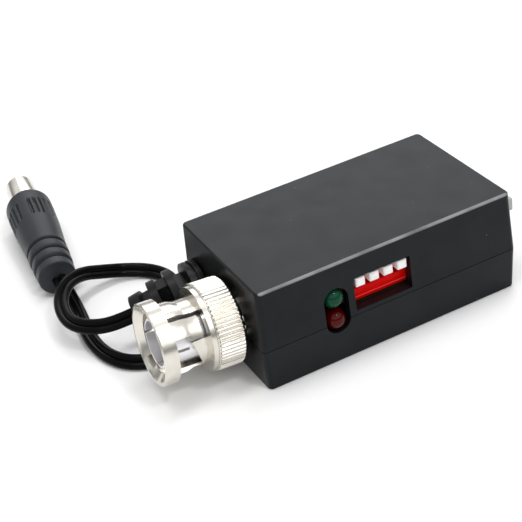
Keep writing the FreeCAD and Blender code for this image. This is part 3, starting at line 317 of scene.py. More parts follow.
def plated(name, dark, pale, rough=(0.2, 0.35), bump=0.05, film=350.0):
    """A plated metal: two tones and two glosses by its cloudy film, and fine lines across X."""
    material, tree, shader = principled(name, {"Metallic": 1.0})
    marks = pattern_of(tree, plate, object_place(tree), {"Film per metre": film})
    give_finish(tree, shader, mixed(tree, marks["Film"], pale, dark), marks["Film"], rough)
    give_bump(tree, shader, marks["Height"], bump, LINE_DEPTH)
    return material


# %% [markdown]
# ## The finishes
# The case is black plastic with a cool, satin skin. The strain relief is a little darker
# and soft, the cord's sheath is glossy, and the grip of the power plug is a paler, bluer
# and duller rubber. Black plastic shows itself mostly by its gloss, so the specular level
# does more for each black than its colour.

# %% Black plastics and rubbers
SATIN = {"Specular IOR Level": 0.19}
COOL_SATIN = {**SATIN, "Specular Tint": (0.78, 0.9, 1.0, 1.0)}

# The pale line along the case's top edges is a painted highlight.
black_case = moulded(
    "satin_black_case", (0.004, 0.0041, 0.0044), (0.0075, 0.0077, 0.0082),
    rough=(0.33, 0.41), bump=0.16, dusty=0.3, edge_highlight=0.26, settings=COOL_SATIN,
)
black_relief = moulded(
    "soft_black_relief", grey(0.003), grey(0.006),
    rough=(0.34, 0.44), bump=0.15, pits=6000.0, settings=SATIN,
)
black_cord = moulded(
    "glossy_cord_sheath", grey(0.002), (0.004, 0.004, 0.0045),
    rough=(0.1, 0.17), bump=0.05, settings={"Specular IOR Level": 0.06},
)
black_grip = moulded(
    "matt_grip_rubber", (0.011, 0.0125, 0.0165), (0.018, 0.0205, 0.0265),
    rough=(0.38, 0.5), bump=0.3, pits=5500.0, dusty=0.2, settings={"Specular IOR Level": 0.34},
)
print("black finishes", len(bpy.data.materials))

# %% [markdown]
# Inside and at the ends are other moulded things: white sliders and insulators, grey
# terminals with pale levers, the green mask of the board, and the dull blacks and greys
# of chip, core, capacitor and gasket. Their pits differ in size as their moulds do.

# %% Other moulded finishes
white_slider = moulded(
    "white_sliders", (0.8, 0.78, 0.77), (0.88, 0.86, 0.85), rough=(0.3, 0.4), bump=0.04, pits=9000.0
)
white_core = moulded(
    "white_insulator", (0.8, 0.79, 0.79), (0.88, 0.87, 0.87), rough=(0.3, 0.42), bump=0.05, pits=9000.0
)
dark_terminal = moulded(
    "dark_terminal_block", (0.03, 0.031, 0.033), (0.045, 0.046, 0.048), bump=0.15, pits=8000.0
)
grey_button = moulded(
    "grey_terminal_buttons", (0.36, 0.36, 0.35), (0.44, 0.44, 0.43), bump=0.1, pits=8000.0
)
# The board's green is painted very dark, as painted shade, so that its edge under the switch shows as a
# dark line.
board_in_painted_shade = moulded(
    "board_solder_mask", (0.0015, 0.012, 0.006), (0.003, 0.02, 0.01),
    rough=(0.35, 0.45), bump=0.1, pits=9000.0,
)
sleeve_film = moulded("capacitor_sleeve", (0.012, 0.014, 0.03), (0.02, 0.022, 0.045), rough=(0.2, 0.3))
chip_case = moulded(
    "chip_epoxy", (0.015, 0.015, 0.016), (0.025, 0.025, 0.026), rough=(0.5, 0.6), bump=0.3, pits=9000.0
)
ferrite = moulded(
    "ferrite_core", (0.035, 0.035, 0.038), (0.06, 0.06, 0.062), rough=(0.55, 0.7), bump=0.4, pits=4500.0
)
gasket = moulded("grey_gasket", grey(0.06), grey(0.09), rough=(0.6, 0.7), bump=0.2, pits=5000.0)
print("plastics", len(bpy.data.materials))

# %% [markdown]
# The nickel is warm, as thin nickel over brass is. The slit contact inside the plug is
# plated with tin, which is paler and rougher, and makes the plug's mouth look pale.
# Screws, pins and windings have their own tones.

# %% Metals
nickel = plated("nickel_plate", (0.68, 0.645, 0.575), (0.76, 0.73, 0.67), rough=(0.2, 0.26), bump=0.01)
bright_tin = plated("bright_tin", (0.86, 0.85, 0.87), (0.93, 0.92, 0.94), rough=(0.34, 0.42), bump=0.01)
tinned = plated("tinned_lead", (0.62, 0.61, 0.6), (0.76, 0.75, 0.74), film=1200.0)
steel = plated("zinc_screw", grey(0.45), grey(0.6), rough=(0.25, 0.4), film=900.0)
copper = plated("enamelled_wire", (0.5, 0.2, 0.08), (0.65, 0.3, 0.12), film=1500.0)
print("finishes", len(bpy.data.materials))

# %% [markdown]
# ## Lamps
# An indicator lamp is a bullet of tinted clear epoxy. Unlit and in a dark slot it shows
# its colour only where light comes back out, and one sharp highlight. A see-through lamp
# would need many light paths in its deep slot, so that light is painted into the colour
# instead: deep all over, with a paler crescent of painted light low on the right.

# %% Lamp finish
LAMP_X, LAMP_BACK = -10.05, -8.7
GREEN_HEIGHT, RED_HEIGHT = 11.625, 7.575
CRESCENT_LEAN, CRESCENT_START, CRESCENT_FULL = 0.6, 1.7, 2.4
CLOUD_SHIFT, CLOUDS_PER_METRE = 1.2, 500.0


def tinted(name, deep, bright, height):
    """Bright where a lean times X, less Z, plus a cloud, from the lamp's axis, is large enough."""
    material, tree, shader = principled(name, {"Specular IOR Level": 0.18})
    place = object_place(tree)
    to_axis = (-LAMP_X * MM, -LAMP_BACK * MM, -height * MM)
    centred = add_node(tree, "ShaderNodeMapping", {"Vector": place, "Location": to_axis}).outputs[0]
    axes = add_node(tree, "ShaderNodeSeparateXYZ", {"Vector": centred}).outputs
    leaned = math_node(tree, "MULTIPLY", axes["X"], CRESCENT_LEAN)
    low_right = math_node(tree, "SUBTRACT", leaned, axes["Z"])
    cloud = noise(tree, place, CLOUDS_PER_METRE, detail=2.0)
    uneven = math_node(tree, "MULTIPLY_ADD", cloud, CLOUD_SHIFT * MM, low_right)
    # The paler crescent is painted light, standing in for the light that comes back out of the epoxy.
    painted_light_crescent = ranged(tree, uneven, CRESCENT_START * MM, CRESCENT_FULL * MM)
    give_finish(tree, shader, mixed(tree, painted_light_crescent, deep, bright), cloud, rough=(0.03, 0.06))
    return material


green_lamp = tinted("green_lamp_epoxy", (0.0, 0.045, 0.021), (0.01, 0.13, 0.07), GREEN_HEIGHT)
red_lamp = tinted("red_lamp_epoxy", (0.06, 0.0, 0.0), (0.17, 0.006, 0.018), RED_HEIGHT)
print("lamps tinted")

# %% [markdown]
# The slide switch is moulded in bright red, and its front is bevelled low down. The turn
# of the bevel carries a painted highlight, a paler line, and the bevel under it is painted
# brighter as painted light. Height alone tells the three places apart, so the tone is a
# function of Z.

# %% Red switch finish
# Height and width of the painted highlight line on the turn of the bevel.
STEP_HEIGHT, HIGHLIGHT_WIDTH, HIGHLIGHT_CORE = 9.25, 0.14, 0.02


def stepped_red(name, plain, line, painted_lit_bevel):
    """A red whose tone changes at one height: painted lit bevel below, painted highlight line at it,
    plain above.
    """
    material, tree, shader = principled(name, {"Specular IOR Level": 0.07})
    place = object_place(tree)
    skin = pattern_of(tree, grain, place)
    height = add_node(tree, "ShaderNodeSeparateXYZ", {"Vector": place}).outputs["Z"]
    level = math_node(tree, "SUBTRACT", height, STEP_HEIGHT * MM)
    below = ranged(tree, level, 0.0, -HIGHLIGHT_WIDTH * MM)
    at_highlight = ranged(tree, math_node(tree, "ABSOLUTE", level), HIGHLIGHT_WIDTH * MM, HIGHLIGHT_CORE * MM)
    colour = mixed(tree, at_highlight, mixed(tree, below, plain, painted_lit_bevel), line)
    give_finish(tree, shader, colour, skin["Tone"], rough=(0.2, 0.3))
    give_bump(tree, shader, skin["Height"], 0.04, PIT_DEPTH)
    return material


# Plain red, then the painted highlight line, then the bevel's painted light.
red_switch = stepped_red("red_switch_body", (0.64, 0.0, 0.0), (0.95, 0.08, 0.07), (0.95, 0.004, 0.004))
print("switch tinted")

# %% [markdown]
# ## Dressing the solids
# A solid from the frame is a shell of flat triangles. Weld joins them, a planar
# dissolve makes each flat face one face again, and a small bevel with hardened normals
# gives every edge the bright line that a real moulded or turned edge has. Modifiers do
# this without a change to the solid's own mesh. Bevels are in millimetres.

# %% Dress
MERGE_DISTANCE = 0.000002
SHARP_ANGLE, FLAT_ANGLE = 35.0, 2.0


def add_bevel(piece, width, angle, segments=2, harden=True):
    """A rounded bevel of a width in millimetres on every edge sharper than the angle."""
    edge = piece.modifiers.new("edge", "BEVEL")
    edge.width = width * MM
    edge.segments = segments
    edge.limit_method = "ANGLE"
    edge.angle_limit = math.radians(angle)
    edge.harden_normals = harden


def dress(name, material, bevel=0.0, segments=2):
    """Modifiers and one material on a solid that keeps its shape."""
    piece = nodes[name]
    weld = piece.modifiers.new("weld", "WELD")
    weld.merge_threshold = MERGE_DISTANCE
    if bevel:
        flat = piece.modifiers.new("flat", "DECIMATE")
        flat.decimate_type = "DISSOLVE"
        flat.angle_limit = math.radians(FLAT_ANGLE)
        add_bevel(piece, bevel, SHARP_ANGLE, segments)
    for slot in piece.material_slots:
        slot.link = "OBJECT"
        slot.material = material


# %% [markdown]
# These solids have the shape of the real piece already. Most of them are inside the case
# or in shade and need no bevel. The switch, its sliders, and the terminals with their
# levers lie open, so their edges get one.

# %% Finishes of the solids
DRESSED = (
    (steel, ("case_screw_far", "case_screw_near", "spring_washer", "thrust_washer")),
    (tinned, ("lamp_green_leads", "lamp_red_leads", "centre_pin")),
    (copper, ("balun_winding_input", "balun_winding_output")),
    (nickel, ("plug_body", "power_plug_contact")),
    (board_in_painted_shade, ("circuit_board",)),
    (sleeve_film, ("smoothing_capacitor",)),
    (chip_case, ("line_driver_chip",)),
    (ferrite, ("balun_core",)),
    (white_core, ("insulator",)),
    (gasket, ("plug_gasket",)),
    (black_grip, ("power_plug_insulator",)),
)
for material, names in DRESSED:
    for name in names:
        dress(name, material)
dress("switch_body", red_switch, bevel=0.35)
for number in range(1, 5):
    dress("switch_slider_%d" % number, white_slider, bevel=0.1, segments=3)
    dress("terminal_cell_%d" % number, dark_terminal, bevel=0.1)
    dress("terminal_button_%d" % number, grey_button, bevel=0.1)
print("dressed", sum(bool(piece.modifiers) for piece in nodes.values()), "of", len(nodes))

# %% [markdown]
# A turned or moulded solid with windows or gaps is better copied: the copy's triangles
# are merged, its smooth faces are shaded smooth, and only its real edges get the bevel.
# Points that fall together are joined, and flat neighbours become one face.

# %% Joined meshes and new pieces
COPY_FLAT_ANGLE = 0.3


def joined(name, source, flat_angle=None):
    """A new mesh from another, with doubled points joined and faces that lie flat dissolved."""
    work = bmesh.new()
    work.from_mesh(source)
    bmesh.ops.remove_doubles(work, verts=work.verts, dist=MERGE_DISTANCE)
    if flat_angle is not None:
        limit = math.radians(flat_angle)
        bmesh.ops.dissolve_limit(work, angle_limit=limit, verts=work.verts, edges=work.edges)
    mesh = bpy.data.meshes.new(name)
    work.to_mesh(mesh)
    work.free()
    return mesh


def new_piece(name, mesh, material):
    """An object at the origin with this mesh and one material."""
    mesh.materials.clear()
    mesh.materials.append(material)
    piece = bpy.data.objects.new(name, mesh)
    bpy.context.scene.collection.objects.link(piece)
    print(name, "faces", len(mesh.polygons))
    return piece


# %% [markdown]
# The two halves of the case never close quite tight, so the lower one's rim is set down
# a little: the parting line is then a real gap with shade in it. Beside a bevel, smooth
# shading spreads over the large flat faces as well; weighted normals keep those flat.

# %% Merged copies
SEAM_LEVEL, SEAM_GAP, SEAM_REACH = 7.55, 0.1, 0.005


def open_seam(mesh):
    """Height less the gap, for every vertex on the seam's level."""
    spots = np.empty(3 * len(mesh.vertices))
    mesh.vertices.foreach_get("co", spots)
    height = spots[2::3]
    height[np.abs(height - SEAM_LEVEL * MM) < SEAM_REACH * MM] -= SEAM_GAP * MM
    mesh.vertices.foreach_set("co", spots)


def skin_of(name, material, bevel, body="case", angle=28.0, weighted=False, seam=False):
    """A merged copy of a solid with smooth faces, sharp edges and a fine bevel."""
    mesh = joined(name + "_skin", nodes[name].data, COPY_FLAT_ANGLE)
    if seam:
        open_seam(mesh)
    mesh.shade_smooth()
    mesh.set_sharp_from_angle(angle=math.radians(angle))
    piece = new_piece(name + "_skin", mesh, material)
    add_bevel(piece, bevel, angle, harden=not weighted)
    if weighted:
        even = piece.modifiers.new("even", "WEIGHTED_NORMAL")
        even.keep_sharp = True
    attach(piece, body)
    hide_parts(name)
    return piece


# %% [markdown]
# The two halves of the case are one plain box with rounded edges, so their large faces
# have to stay flat. The sleeve of the coupling nut, the slit contact and the strain
# relief are turned, so their round faces are smoothed and only their rims stay sharp.

# %% Copies of case, sleeve, contact and strain relief
skin_of("upper_shell", black_case, 0.1, angle=50, weighted=True)
skin_of("lower_shell", black_case, 0.06, angle=50, weighted=True, seam=True)
skin_of("nut_sleeve", nickel, 0.05, body="coupling_nut")
skin_of("outer_contact", bright_tin, 0.04)
skin_of("strain_relief", black_relief, 0.12)

# %% [markdown]
# ## Surfaces on a grid
# Every new piece is a function of two parameters, worked out for the whole grid at once.
# The grid then becomes quads by index arithmetic. Its columns always close into a tube.
# Its rows wrap round to the first one, or each end is closed with a fan to its middle,
# and points that fall together at a pole are joined.

# %% Grid to mesh
def grid_faces(rows, columns, wrap_rows):
    """Quads: each spot with the next in its row and the two that follow them in the next row."""
    row = np.arange(rows if wrap_rows else rows - 1)[:, None]
    column = np.arange(columns)[None, :]
    after_row = (row + 1) % rows
    after_column = (column + 1) % columns
    return np.stack([
        row * columns + column,
        row * columns + after_column,
        after_row * columns + after_column,
        after_row * columns + column,
    ], axis=-1).reshape(-1, 4)


def end_fans(rows, columns):
    """Triangles from two spots added after the grid to its first row and to its last."""
    ring = np.arange(columns)
    turn = (ring + 1) % columns
    last = (rows - 1) * columns
    first_middle = np.full(columns, rows * columns)
    start_fan = np.stack([first_middle, turn, ring], axis=-1)
    end_fan = np.stack([first_middle + 1, last + ring, last + turn], axis=-1)
    return start_fan.tolist() + end_fan.tolist()


def faces_inward(spots, quads):
    """Whether the quads' normals, times their way out from the middle, add up below nought."""
    corners = spots[quads]
    normals = np.cross(corners[:, 2] - corners[:, 0], corners[:, 3] - corners[:, 1])
    outward = corners.mean(axis=1) - spots.mean(axis=0)
    return np.einsum("ij,ij->", outward, normals) < 0


def grid_piece(name, points, material, wrap_rows=False):
    """A mesh from an array (rows, columns, 3), with its doubled points joined and faces outward."""
    rows, columns = points.shape[:2]
    spots = points.reshape(-1, 3)
    quads = grid_faces(rows, columns, wrap_rows)
    faces = quads.tolist()
    inward = faces_inward(spots, quads)
    if not wrap_rows:
        faces += end_fans(rows, columns)
        spots = np.concatenate([spots, [points[0].mean(axis=0), points[-1].mean(axis=0)]])
    if inward:
        faces = [face[::-1] for face in faces]
    loose = bpy.data.meshes.new(name + "_grid")
    loose.from_pydata(spots.tolist(), [], faces)
    mesh = joined(name, loose)
    bpy.data.meshes.remove(loose)
    mesh.shade_smooth()
    mesh.validate()
    return new_piece(name, mesh, material)


# %% [markdown]
# Many pieces here are turned: an outline of stations along an axis and radii, carried
# round it. Their corners are never quite sharp, so each corner of the outline is first
# replaced by a short curve, and the surface may then be changed by station and angle.

# %% Turned surfaces
CURVE_STEPS = 4
LONGEST_CUT = 0.45


def rounded(outline, reach, closed):
    """Each corner becomes a quadratic curve that starts and ends at most reach from it."""
    corner = np.array(outline, float)
    before = np.roll(corner, 1, axis=0) - corner
    after = np.roll(corner, -1, axis=0) - corner
    long_before = np.linalg.norm(before, axis=1)[:, None]
    long_after = np.linalg.norm(after, axis=1)[:, None]
    start = corner + before / long_before * np.minimum(reach, LONGEST_CUT * long_before)
    end = corner + after / long_after * np.minimum(reach, LONGEST_CUT * long_after)
    if not closed:
        start[0] = end[0] = corner[0]
        start[-1] = end[-1] = corner[-1]
    share = np.linspace(0, 1, CURVE_STEPS)[None, :, None]
    from_start = (1 - share) ** 2 * start[:, None]
    at_corner = 2 * share * (1 - share) * corner[:, None]
    return (from_start + at_corner + share ** 2 * end[:, None]).reshape(-1, 2)


def around_axis(origin, axis, along, radius, angle):
    """Origin, plus along times the axis, plus radius times cosine level and sine upward."""
    level = np.cross((0.0, 0.0, 1.0), axis)
    level /= np.linalg.norm(level)
    up = np.cross(axis, level)
    across = (radius * np.cos(angle))[..., None] * level + (radius * np.sin(angle))[..., None] * up
    return origin + along[..., None] * np.array(axis) + across


def turned_piece(name, outline, origin, axis, material, reach, columns=96, change=None, closed=True):
    """A ring from a closed outline in millimetres, or a solid from an open one that starts and
    ends on the axis: each station's radius, plus the change there, carried round the axis.
    """
    profile = rounded(outline, reach, closed)
    turn = np.linspace(0, 2 * np.pi, columns, endpoint=False)
    along, angle = np.meshgrid(profile[:, 0], turn, indexing="ij")
    radius = np.repeat(profile[:, 1][:, None], columns, axis=1)
    if change is not None:
        radius = radius + change(along, radius, angle)
    points = around_axis(origin, axis, along * MM, radius * MM, angle)
    return grid_piece(name, points, material, wrap_rows=closed)


# %% [markdown]
# ## Indicator lamps
# Each lamp is a bullet of epoxy: a narrow flange at the back, a straight stem, and a
# half-round dome that fills most of the slot's width. One outline turned round the
# lamp's axis makes it, with enough columns for a clean highlight.

# %% Indicator lamps
LAMP_RADIUS, LAMP_FLANGE, FLANGE_DEPTH, LAMP_LENGTH = 1.72, 1.9, 0.9, 5.3

dome = np.linspace(0, np.pi / 2, 18)
bullet = np.concatenate([
    [(0, 0), (0, LAMP_FLANGE), (FLANGE_DEPTH, LAMP_FLANGE), (FLANGE_DEPTH, LAMP_RADIUS)],
    np.column_stack([LAMP_LENGTH - LAMP_RADIUS * (1 - np.sin(dome)), LAMP_RADIUS * np.cos(dome)]),
])
for colour, finish, height in (("green", green_lamp, GREEN_HEIGHT), ("red", red_lamp, RED_HEIGHT)):
    back = np.array([LAMP_X, LAMP_BACK, height]) * MM
    lens = turned_piece(
        "lamp_dome_" + colour, bullet, back, (0.0, -1.0, 0.0), finish,
        reach=0.05, columns=64, closed=False,
    )
    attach(lens, "case")
    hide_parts("lamp_" + colour)

# %% [markdown]
# ## Knurled ring of the coupling nut
# Fingers turn the nut by its knurl: sixty-four straight ridges, rolled into the rim and
# run out before both edges. They could be cut one by one, but the groove's depth is
# simply a rounded wave of the angle, faded in and out along the ring.

# %% Outline and knurl of the ring
NUT_GAP, RING_LENGTH, WALL = 0.7, 4.85, 1.4
RING_RADIUS, BAND_RADIUS, BORE_RADIUS = 7.18, 6.25, 4.2
REAR_CHAMFER, REAR_DROP, FRONT_CHAMFER, FRONT_DROP = 0.45, 0.5, 0.1, 0.15
RIM_STEPS = (0.7, 0.9, 1.2, 2.0, 3.0, 3.8, 4.3, 4.5, 4.65)
RIDGES, RIDGE_DEPTH, RIDGE_POWER = 64, 0.3, 1.3
RUN_IN, RUN_OUT, FRONT_MARGIN, RIM_BAND, RIM_FADE = 0.25, 0.2, 0.15, 0.6, 0.3
RING_STOP = NUT_GAP + RING_LENGTH


def knurl(along, radius, angle):
    """Minus a depth times a power of a wave of the angle, faded at both edges and off the rim."""
    wave = (0.5 + 0.5 * np.cos(RIDGES * angle)) ** RIDGE_POWER
    fade_in = np.clip((along - NUT_GAP - RUN_IN) / RUN_IN, 0, 1)
    fade_out = np.clip((RING_STOP - FRONT_MARGIN - along) / RUN_OUT, 0, 1)
    at_rim = np.clip((radius - RING_RADIUS + RIM_BAND) / RIM_FADE, 0, 1)
    return -RIDGE_DEPTH * wave * fade_in * fade_out * at_rim


ring_outline = (
    (NUT_GAP, BORE_RADIUS), (NUT_GAP, RING_RADIUS - REAR_DROP), (NUT_GAP + REAR_CHAMFER, RING_RADIUS),
    *((NUT_GAP + step, RING_RADIUS) for step in RIM_STEPS),
    (RING_STOP - FRONT_CHAMFER, RING_RADIUS), (RING_STOP, RING_RADIUS - FRONT_DROP),
    (RING_STOP, BAND_RADIUS), (NUT_GAP + WALL, BAND_RADIUS), (NUT_GAP + WALL, BORE_RADIUS),
)
print("outline of the ring", len(ring_outline), "corners")

# %% [markdown]
# Twelve columns to a ridge are enough for a smooth wave that catches the light on both of
# its flanks. The joint of the nut gives the ring its place and its axis, which leans a
# little, as it does in the photograph.

# %% Knurled ring
COLUMNS_PER_RIDGE = 12

nut_joint = [joint for joint in frame["joints"] if joint["name"] == "coupling_nut_turn"][0]
nut_ring = turned_piece(
    "nut_knurled_ring", ring_outline, np.array(nut_joint["pos_m"]), np.array(nut_joint["axis"]), nickel,
    reach=0.1, columns=RIDGES * COLUMNS_PER_RIDGE, change=knurl,
)
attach(nut_ring, "coupling_nut")
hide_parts("nut_grip")

# %% [markdown]
# ## Power plug
# A soft rubber grip is moulded over a direct-current plug. Its tail has three deep rings,
# so that it bends with the lead, and its front has four groups of five finger slots. The
# radius is a function of station and angle: a slow taper, minus rings, minus slots. Rings
# and swells between them are given as start, stop, softness and number; slots likewise.

# %% Radius of the grip
GRIP_END, NOSE, NOSE_RADIUS, TAIL = 26.2, 1.4, 3.1, 0.35
TAPER_STATIONS, TAPER_RADII = (0, 10, 17, 21.8, 24.8), (3.4, 3.78, 4.22, 4.35, 4.35)
FRONT_RADIUS = TAPER_RADII[-1]
RING_PITCH, RING_DEPTH, SWELL_HEIGHT, SLOT_DEPTH = 2.85, 0.85, 0.1, 0.6
RINGS, SWELLS, SLOT_SPAN = (1.95, 2.95, 0.18, 3), (3.1, 4.7, 1.2, 2), (16.8, 22.0, 0.4)
SLOT_PITCH, SLOT_TURN = math.radians(14), math.radians(17)
SLOT_HALF_WIDTH, SLOT_SOFTNESS = 0.27, 0.12


def soft_box(value, low, high, soft):
    """One between two limits, nought outside, with smooth flanks."""
    rise = np.clip((value - low) / soft + 0.5, 0, 1)
    fall = np.clip((high - value) / soft + 0.5, 0, 1)
    both = np.minimum(rise, fall)
    return both * both * (3 - 2 * both)


def row_of_boxes(along, low, high, soft, count):
    """The sum of boxes with the same limits, each one pitch of the rings after the last."""
    shifts = [RING_PITCH * number for number in range(count)]
    return sum(soft_box(along, low + shift, high + shift, soft) for shift in shifts)


def grip_radius(along, angle):
    """The taper, rounded at both ends, minus three rings and four groups of five slots."""
    taper = np.interp(along, TAPER_STATIONS, TAPER_RADII)
    nose = np.clip((along - GRIP_END + NOSE) / NOSE, 0, 1)
    front_round = (FRONT_RADIUS - NOSE_RADIUS) * (1 - np.sqrt(1 - nose ** 2))
    tail_round = TAIL * (1 - np.sqrt(1 - np.clip(1 - along / TAIL, 0, 1) ** 2))
    rings = RING_DEPTH * row_of_boxes(along, *RINGS)
    swells = SWELL_HEIGHT * row_of_boxes(along, *SWELLS)
    phase = np.mod(angle + SLOT_TURN, np.pi / 2) - np.pi / 4
    nearest = np.clip(np.round(phase / SLOT_PITCH), -2, 2) * SLOT_PITCH
    slot = soft_box(np.abs(phase - nearest) * FRONT_RADIUS, -1, SLOT_HALF_WIDTH, SLOT_SOFTNESS)
    slots = SLOT_DEPTH * slot * soft_box(along, *SLOT_SPAN)
    return taper - front_round - tail_round - rings + swells - slots


# %% [markdown]
# The grid of the grip has its stations close together where rings, slots and rounded
# ends need them, and far apart on the plain length between.

# %% Grip of the power plug
PLUG_REAR = np.array([-40.3, 33.4, 3.66]) * MM
PLUG_HEADING = np.array([4.1, 27.7, 1.0]) / np.linalg.norm([4.1, 27.7, 1.0])
STATION_RUNS = ((0, TAIL, 6), (TAIL, 11, 96), (11, 16.2, 12), (16.2, GRIP_END - NOSE, 70))

stations = np.concatenate([
    *(np.linspace(start, stop, count, endpoint=False) for start, stop, count in STATION_RUNS),
    GRIP_END - NOSE + NOSE * np.sin(np.linspace(0, np.pi / 2, 12)),
])
along, angle = np.meshgrid(stations, np.linspace(0, 2 * np.pi, 320, endpoint=False), indexing="ij")
grip_points = around_axis(PLUG_REAR, PLUG_HEADING, along * MM, grip_radius(along, angle) * MM, angle)
plug_grip = grid_piece("plug_rubber_grip", grip_points, black_grip)
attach(plug_grip, "case")
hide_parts("power_plug_grip")

# %% [markdown]
# The barrel is a turned tube with a rounded rim. It shares the grip's axis, and starts
# just inside the grip so that no gap shows between them.

# %% Barrel of the power plug
BARREL_START, BARREL_END, BARREL_BORE, BARREL_RADIUS = GRIP_END - 0.05, GRIP_END + 8.0, 2.35, 2.75
RIM_LONG, RIM_DROP = 0.4, 0.3

barrel = turned_piece("plug_barrel", (
    (BARREL_START, BARREL_BORE), (BARREL_START, BARREL_RADIUS), (BARREL_END - RIM_LONG, BARREL_RADIUS),
    (BARREL_END, BARREL_RADIUS - RIM_DROP), (BARREL_END, BARREL_BORE),
), PLUG_REAR, PLUG_HEADING, nickel, reach=0.15)
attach(barrel, "case")
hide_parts("power_plug_barrel")

# %% [markdown]
# ## The twin lead
# The power lead is two insulated strands moulded side by side, so it is flat: it bends
# easily one way and keeps its wide side turned the same way all along. The route is the
# one that the solid follows, with two points a little further in, so that the lead stays
# inside the solids' box. A NURBS spline led by those points is the middle line, and the
# section, an outline of two circles with a shallow web, is carried along it.

# %% Route of the lead
LEAD_START = (-33.549, 9.978, 6.840)
LEAD_POINTS = (
    (-38.0, 11.2, 5.5), (-41.8, 13.3, 5.2), (-43.85, 16.8, 4.9), (-43.9, 21.0, 4.8), (-42.7, 25.0, 5.1),
    (-40.1, 28.3, 5.5), (-36.6, 30.5, 4.6), (-32.8, 31.4, 2.9), (-28.75, 31.3, 1.6), (-25.1, 29.2, 1.15),
    (-23.1, 25.7, 1.1), (-23.1, 21.5, 1.1), (-24.0, 17.4, 1.1), (-25.2, 13.4, 1.1), (-25.8, 9.4, 1.1),
    (-27.8, 5.9, 1.1), (-31.3, 3.9, 1.1), (-35.3, 3.9, 1.1), (-38.8, 5.9, 1.1), (-40.8, 9.4, 1.1),
    (-41.5, 13.5, 1.1), (-41.3, 17.9, 1.1), (-40.6, 22.3, 1.1), (-40.1, 26.4, 1.3), (-40.0, 30.1, 2.4),
)
LEAD_STOP = (-40.183, 34.191, 3.689)

curve = bpy.data.curves.new("lead_line", "CURVE")
curve.dimensions = "3D"
spline = curve.splines.new("NURBS")
route = np.array([LEAD_START, *LEAD_POINTS, LEAD_STOP]) * MM
spline.points.add(len(route) - 1)
spline.points.foreach_set("co", np.column_stack([route, np.ones(len(route))]).ravel())
spline.order_u = 3
spline.use_endpoint_u = True
curve.resolution_u = 12
line_object = bpy.data.objects.new("lead_line", curve)
line_mesh = bpy.data.meshes.new_from_object(line_object)
line = np.array([spot.co[:] for spot in line_mesh.vertices])
bpy.data.objects.remove(line_object)

# %% [markdown]
# The section keeps its wide side square to one fixed direction, so it doesn't twist: at
# each point of the line, wide is across both the line and that direction, and thin is
# across the line and wide. The outline is carried along as one array sum.

# %% Twin section carried along the line
STRAND_RADIUS, STRAND_OFFSET, WEB_ANGLE = 0.675 * MM, 0.625 * MM, 0.42
SEAM_DIRECTION = np.array([0.27, 0.63, -0.73])


def twin_section(count):
    """Across and thick of the outline: one strand's arc, from web round to web, and its mirror."""
    arc = np.linspace(-(np.pi - WEB_ANGLE), np.pi - WEB_ANGLE, count)
    across = STRAND_OFFSET + STRAND_RADIUS * np.cos(arc)
    thick = STRAND_RADIUS * np.sin(arc)
    return np.concatenate([across, -across]), np.concatenate([thick, -thick])


def unit_rows(rows):
    """Each row divided by its own length."""
    return rows / np.linalg.norm(rows, axis=1)[:, None]


tangent = unit_rows(np.gradient(line, axis=0))
wide = unit_rows(np.cross(tangent, SEAM_DIRECTION))
thin = np.cross(tangent, wide)
across, thick = twin_section(20)
tube = line[:, None] + wide[:, None] * across[None, :, None] + thin[:, None] * thick[None, :, None]
lead = grid_piece("twin_lead", tube, black_cord)
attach(lead, "case")
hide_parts("power_cord")

# %% [markdown]
# ## Floor, background and light
# A plain pale floor catches the contact shadow. It is a large plane with the faint
# unevenness of paper.

# %% Floor
bpy.ops.mesh.primitive_plane_add(size=4.0, location=(0, 0, 0))
floor = bpy.context.object
floor.name = "floor"
floor_material, tree, shader = principled("white_floor", {"Roughness": 0.9, "Specular IOR Level": 0.1})
paper = noise(tree, object_place(tree), 60.0, detail=2.0)
tree.links.new(mixed(tree, paper, grey(0.93), grey(0.96)), shader.inputs["Base Color"])
floor.data.materials.append(floor_material)
print("floor", floor.name)

# %% [markdown]
# The world is white where the camera looks past the floor. Metal and glossy plastic see a
# studio instead, bright above and darker low down, which is what gives nickel its dark
# bands. Everything else is lit by an even grey, so that colours render about as they are
# written. Each pair in the table is a height, from the horizon up, and its brightness.

# %% World
EVEN_GREY = 0.6
GLOSSY_LEVELS = ((0.0, 0.3), (0.12, 0.2), (0.3, 0.6), (0.45, 1.0), (0.8, 0.8), (1.0, 1.0))

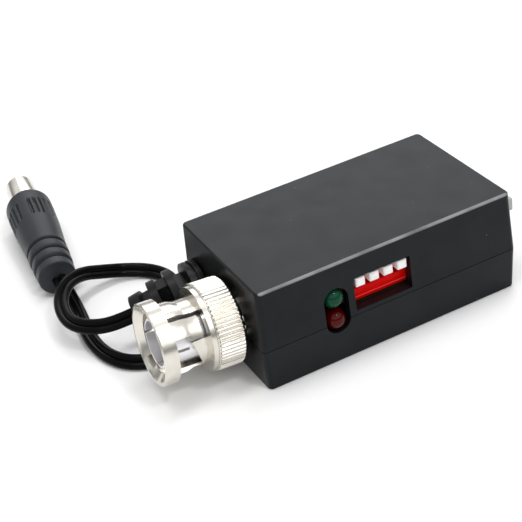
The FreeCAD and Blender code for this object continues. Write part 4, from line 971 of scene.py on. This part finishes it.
world = bpy.data.worlds.new("studio")
bpy.context.scene.world = world
world.use_nodes = True
tree = world.node_tree
tree.nodes.clear()
direction = add_node(tree, "ShaderNodeTexCoord").outputs["Generated"]
height = add_node(tree, "ShaderNodeSeparateXYZ", {"Vector": direction}).outputs["Z"]
height_ramp = add_node(tree, "ShaderNodeValToRGB", {"Fac": height})
elements = height_ramp.color_ramp.elements
for stop in GLOSSY_LEVELS[1:-1]:
    elements.new(stop[0])
for element, (position, level) in zip(elements, GLOSSY_LEVELS):
    element.position = position
    element.color = (*grey(level), 1.0)
ray = add_node(tree, "ShaderNodeLightPath").outputs
on_object = mixed(tree, ray["Is Glossy Ray"], grey(EVEN_GREY), height_ramp.outputs["Color"])
seen = mixed(tree, ray["Is Camera Ray"], on_object, grey(1.0))
sky = add_node(tree, "ShaderNodeBackground", {"Color": seen, "Strength": 1.0})
add_node(tree, "ShaderNodeOutputWorld", {"Surface": sky.outputs[0]})
print("world", world.name)

# %% [markdown]
# Five soft boxes light the object, as in a product studio. The key hangs above, the back
# one is what the lid reflects, front and fill lift the sides, and a small bright one makes
# the sharp highlight on the lamps. Each row gives place, target and size in millimetres,
# and power in watts.

# %% Lamps
LAMPS = (
    ("key", (-10, 30, 420), (0, 0, 0), (400, 110), 0.8),
    ("back", (250, 570, 405), (0, 0, 10), (520, 360), 0.92),
    ("front", (190, -430, 350), (0, 0, 5), (420, 300), 0.32),
    ("fill", (-260, -560, 420), (0, 0, 5), (520, 380), 0.32),
    ("spark", (75, -250, 425), (0, 0, 5), (60, 46), 0.38),
)
for name, place, target, size, power in LAMPS:
    light = bpy.data.lights.new(name, "AREA")
    light.shape = "RECTANGLE"
    light.size = size[0] * MM
    light.size_y = size[1] * MM
    light.energy = power
    lamp = bpy.data.objects.new(name, light)
    bpy.context.scene.collection.objects.link(lamp)
    lamp.location = Vector(place) * MM
    lamp.rotation_euler = (Vector(target) - Vector(place)).to_track_quat("-Z", "Y").to_euler()
print("lamps", len(bpy.data.lights))
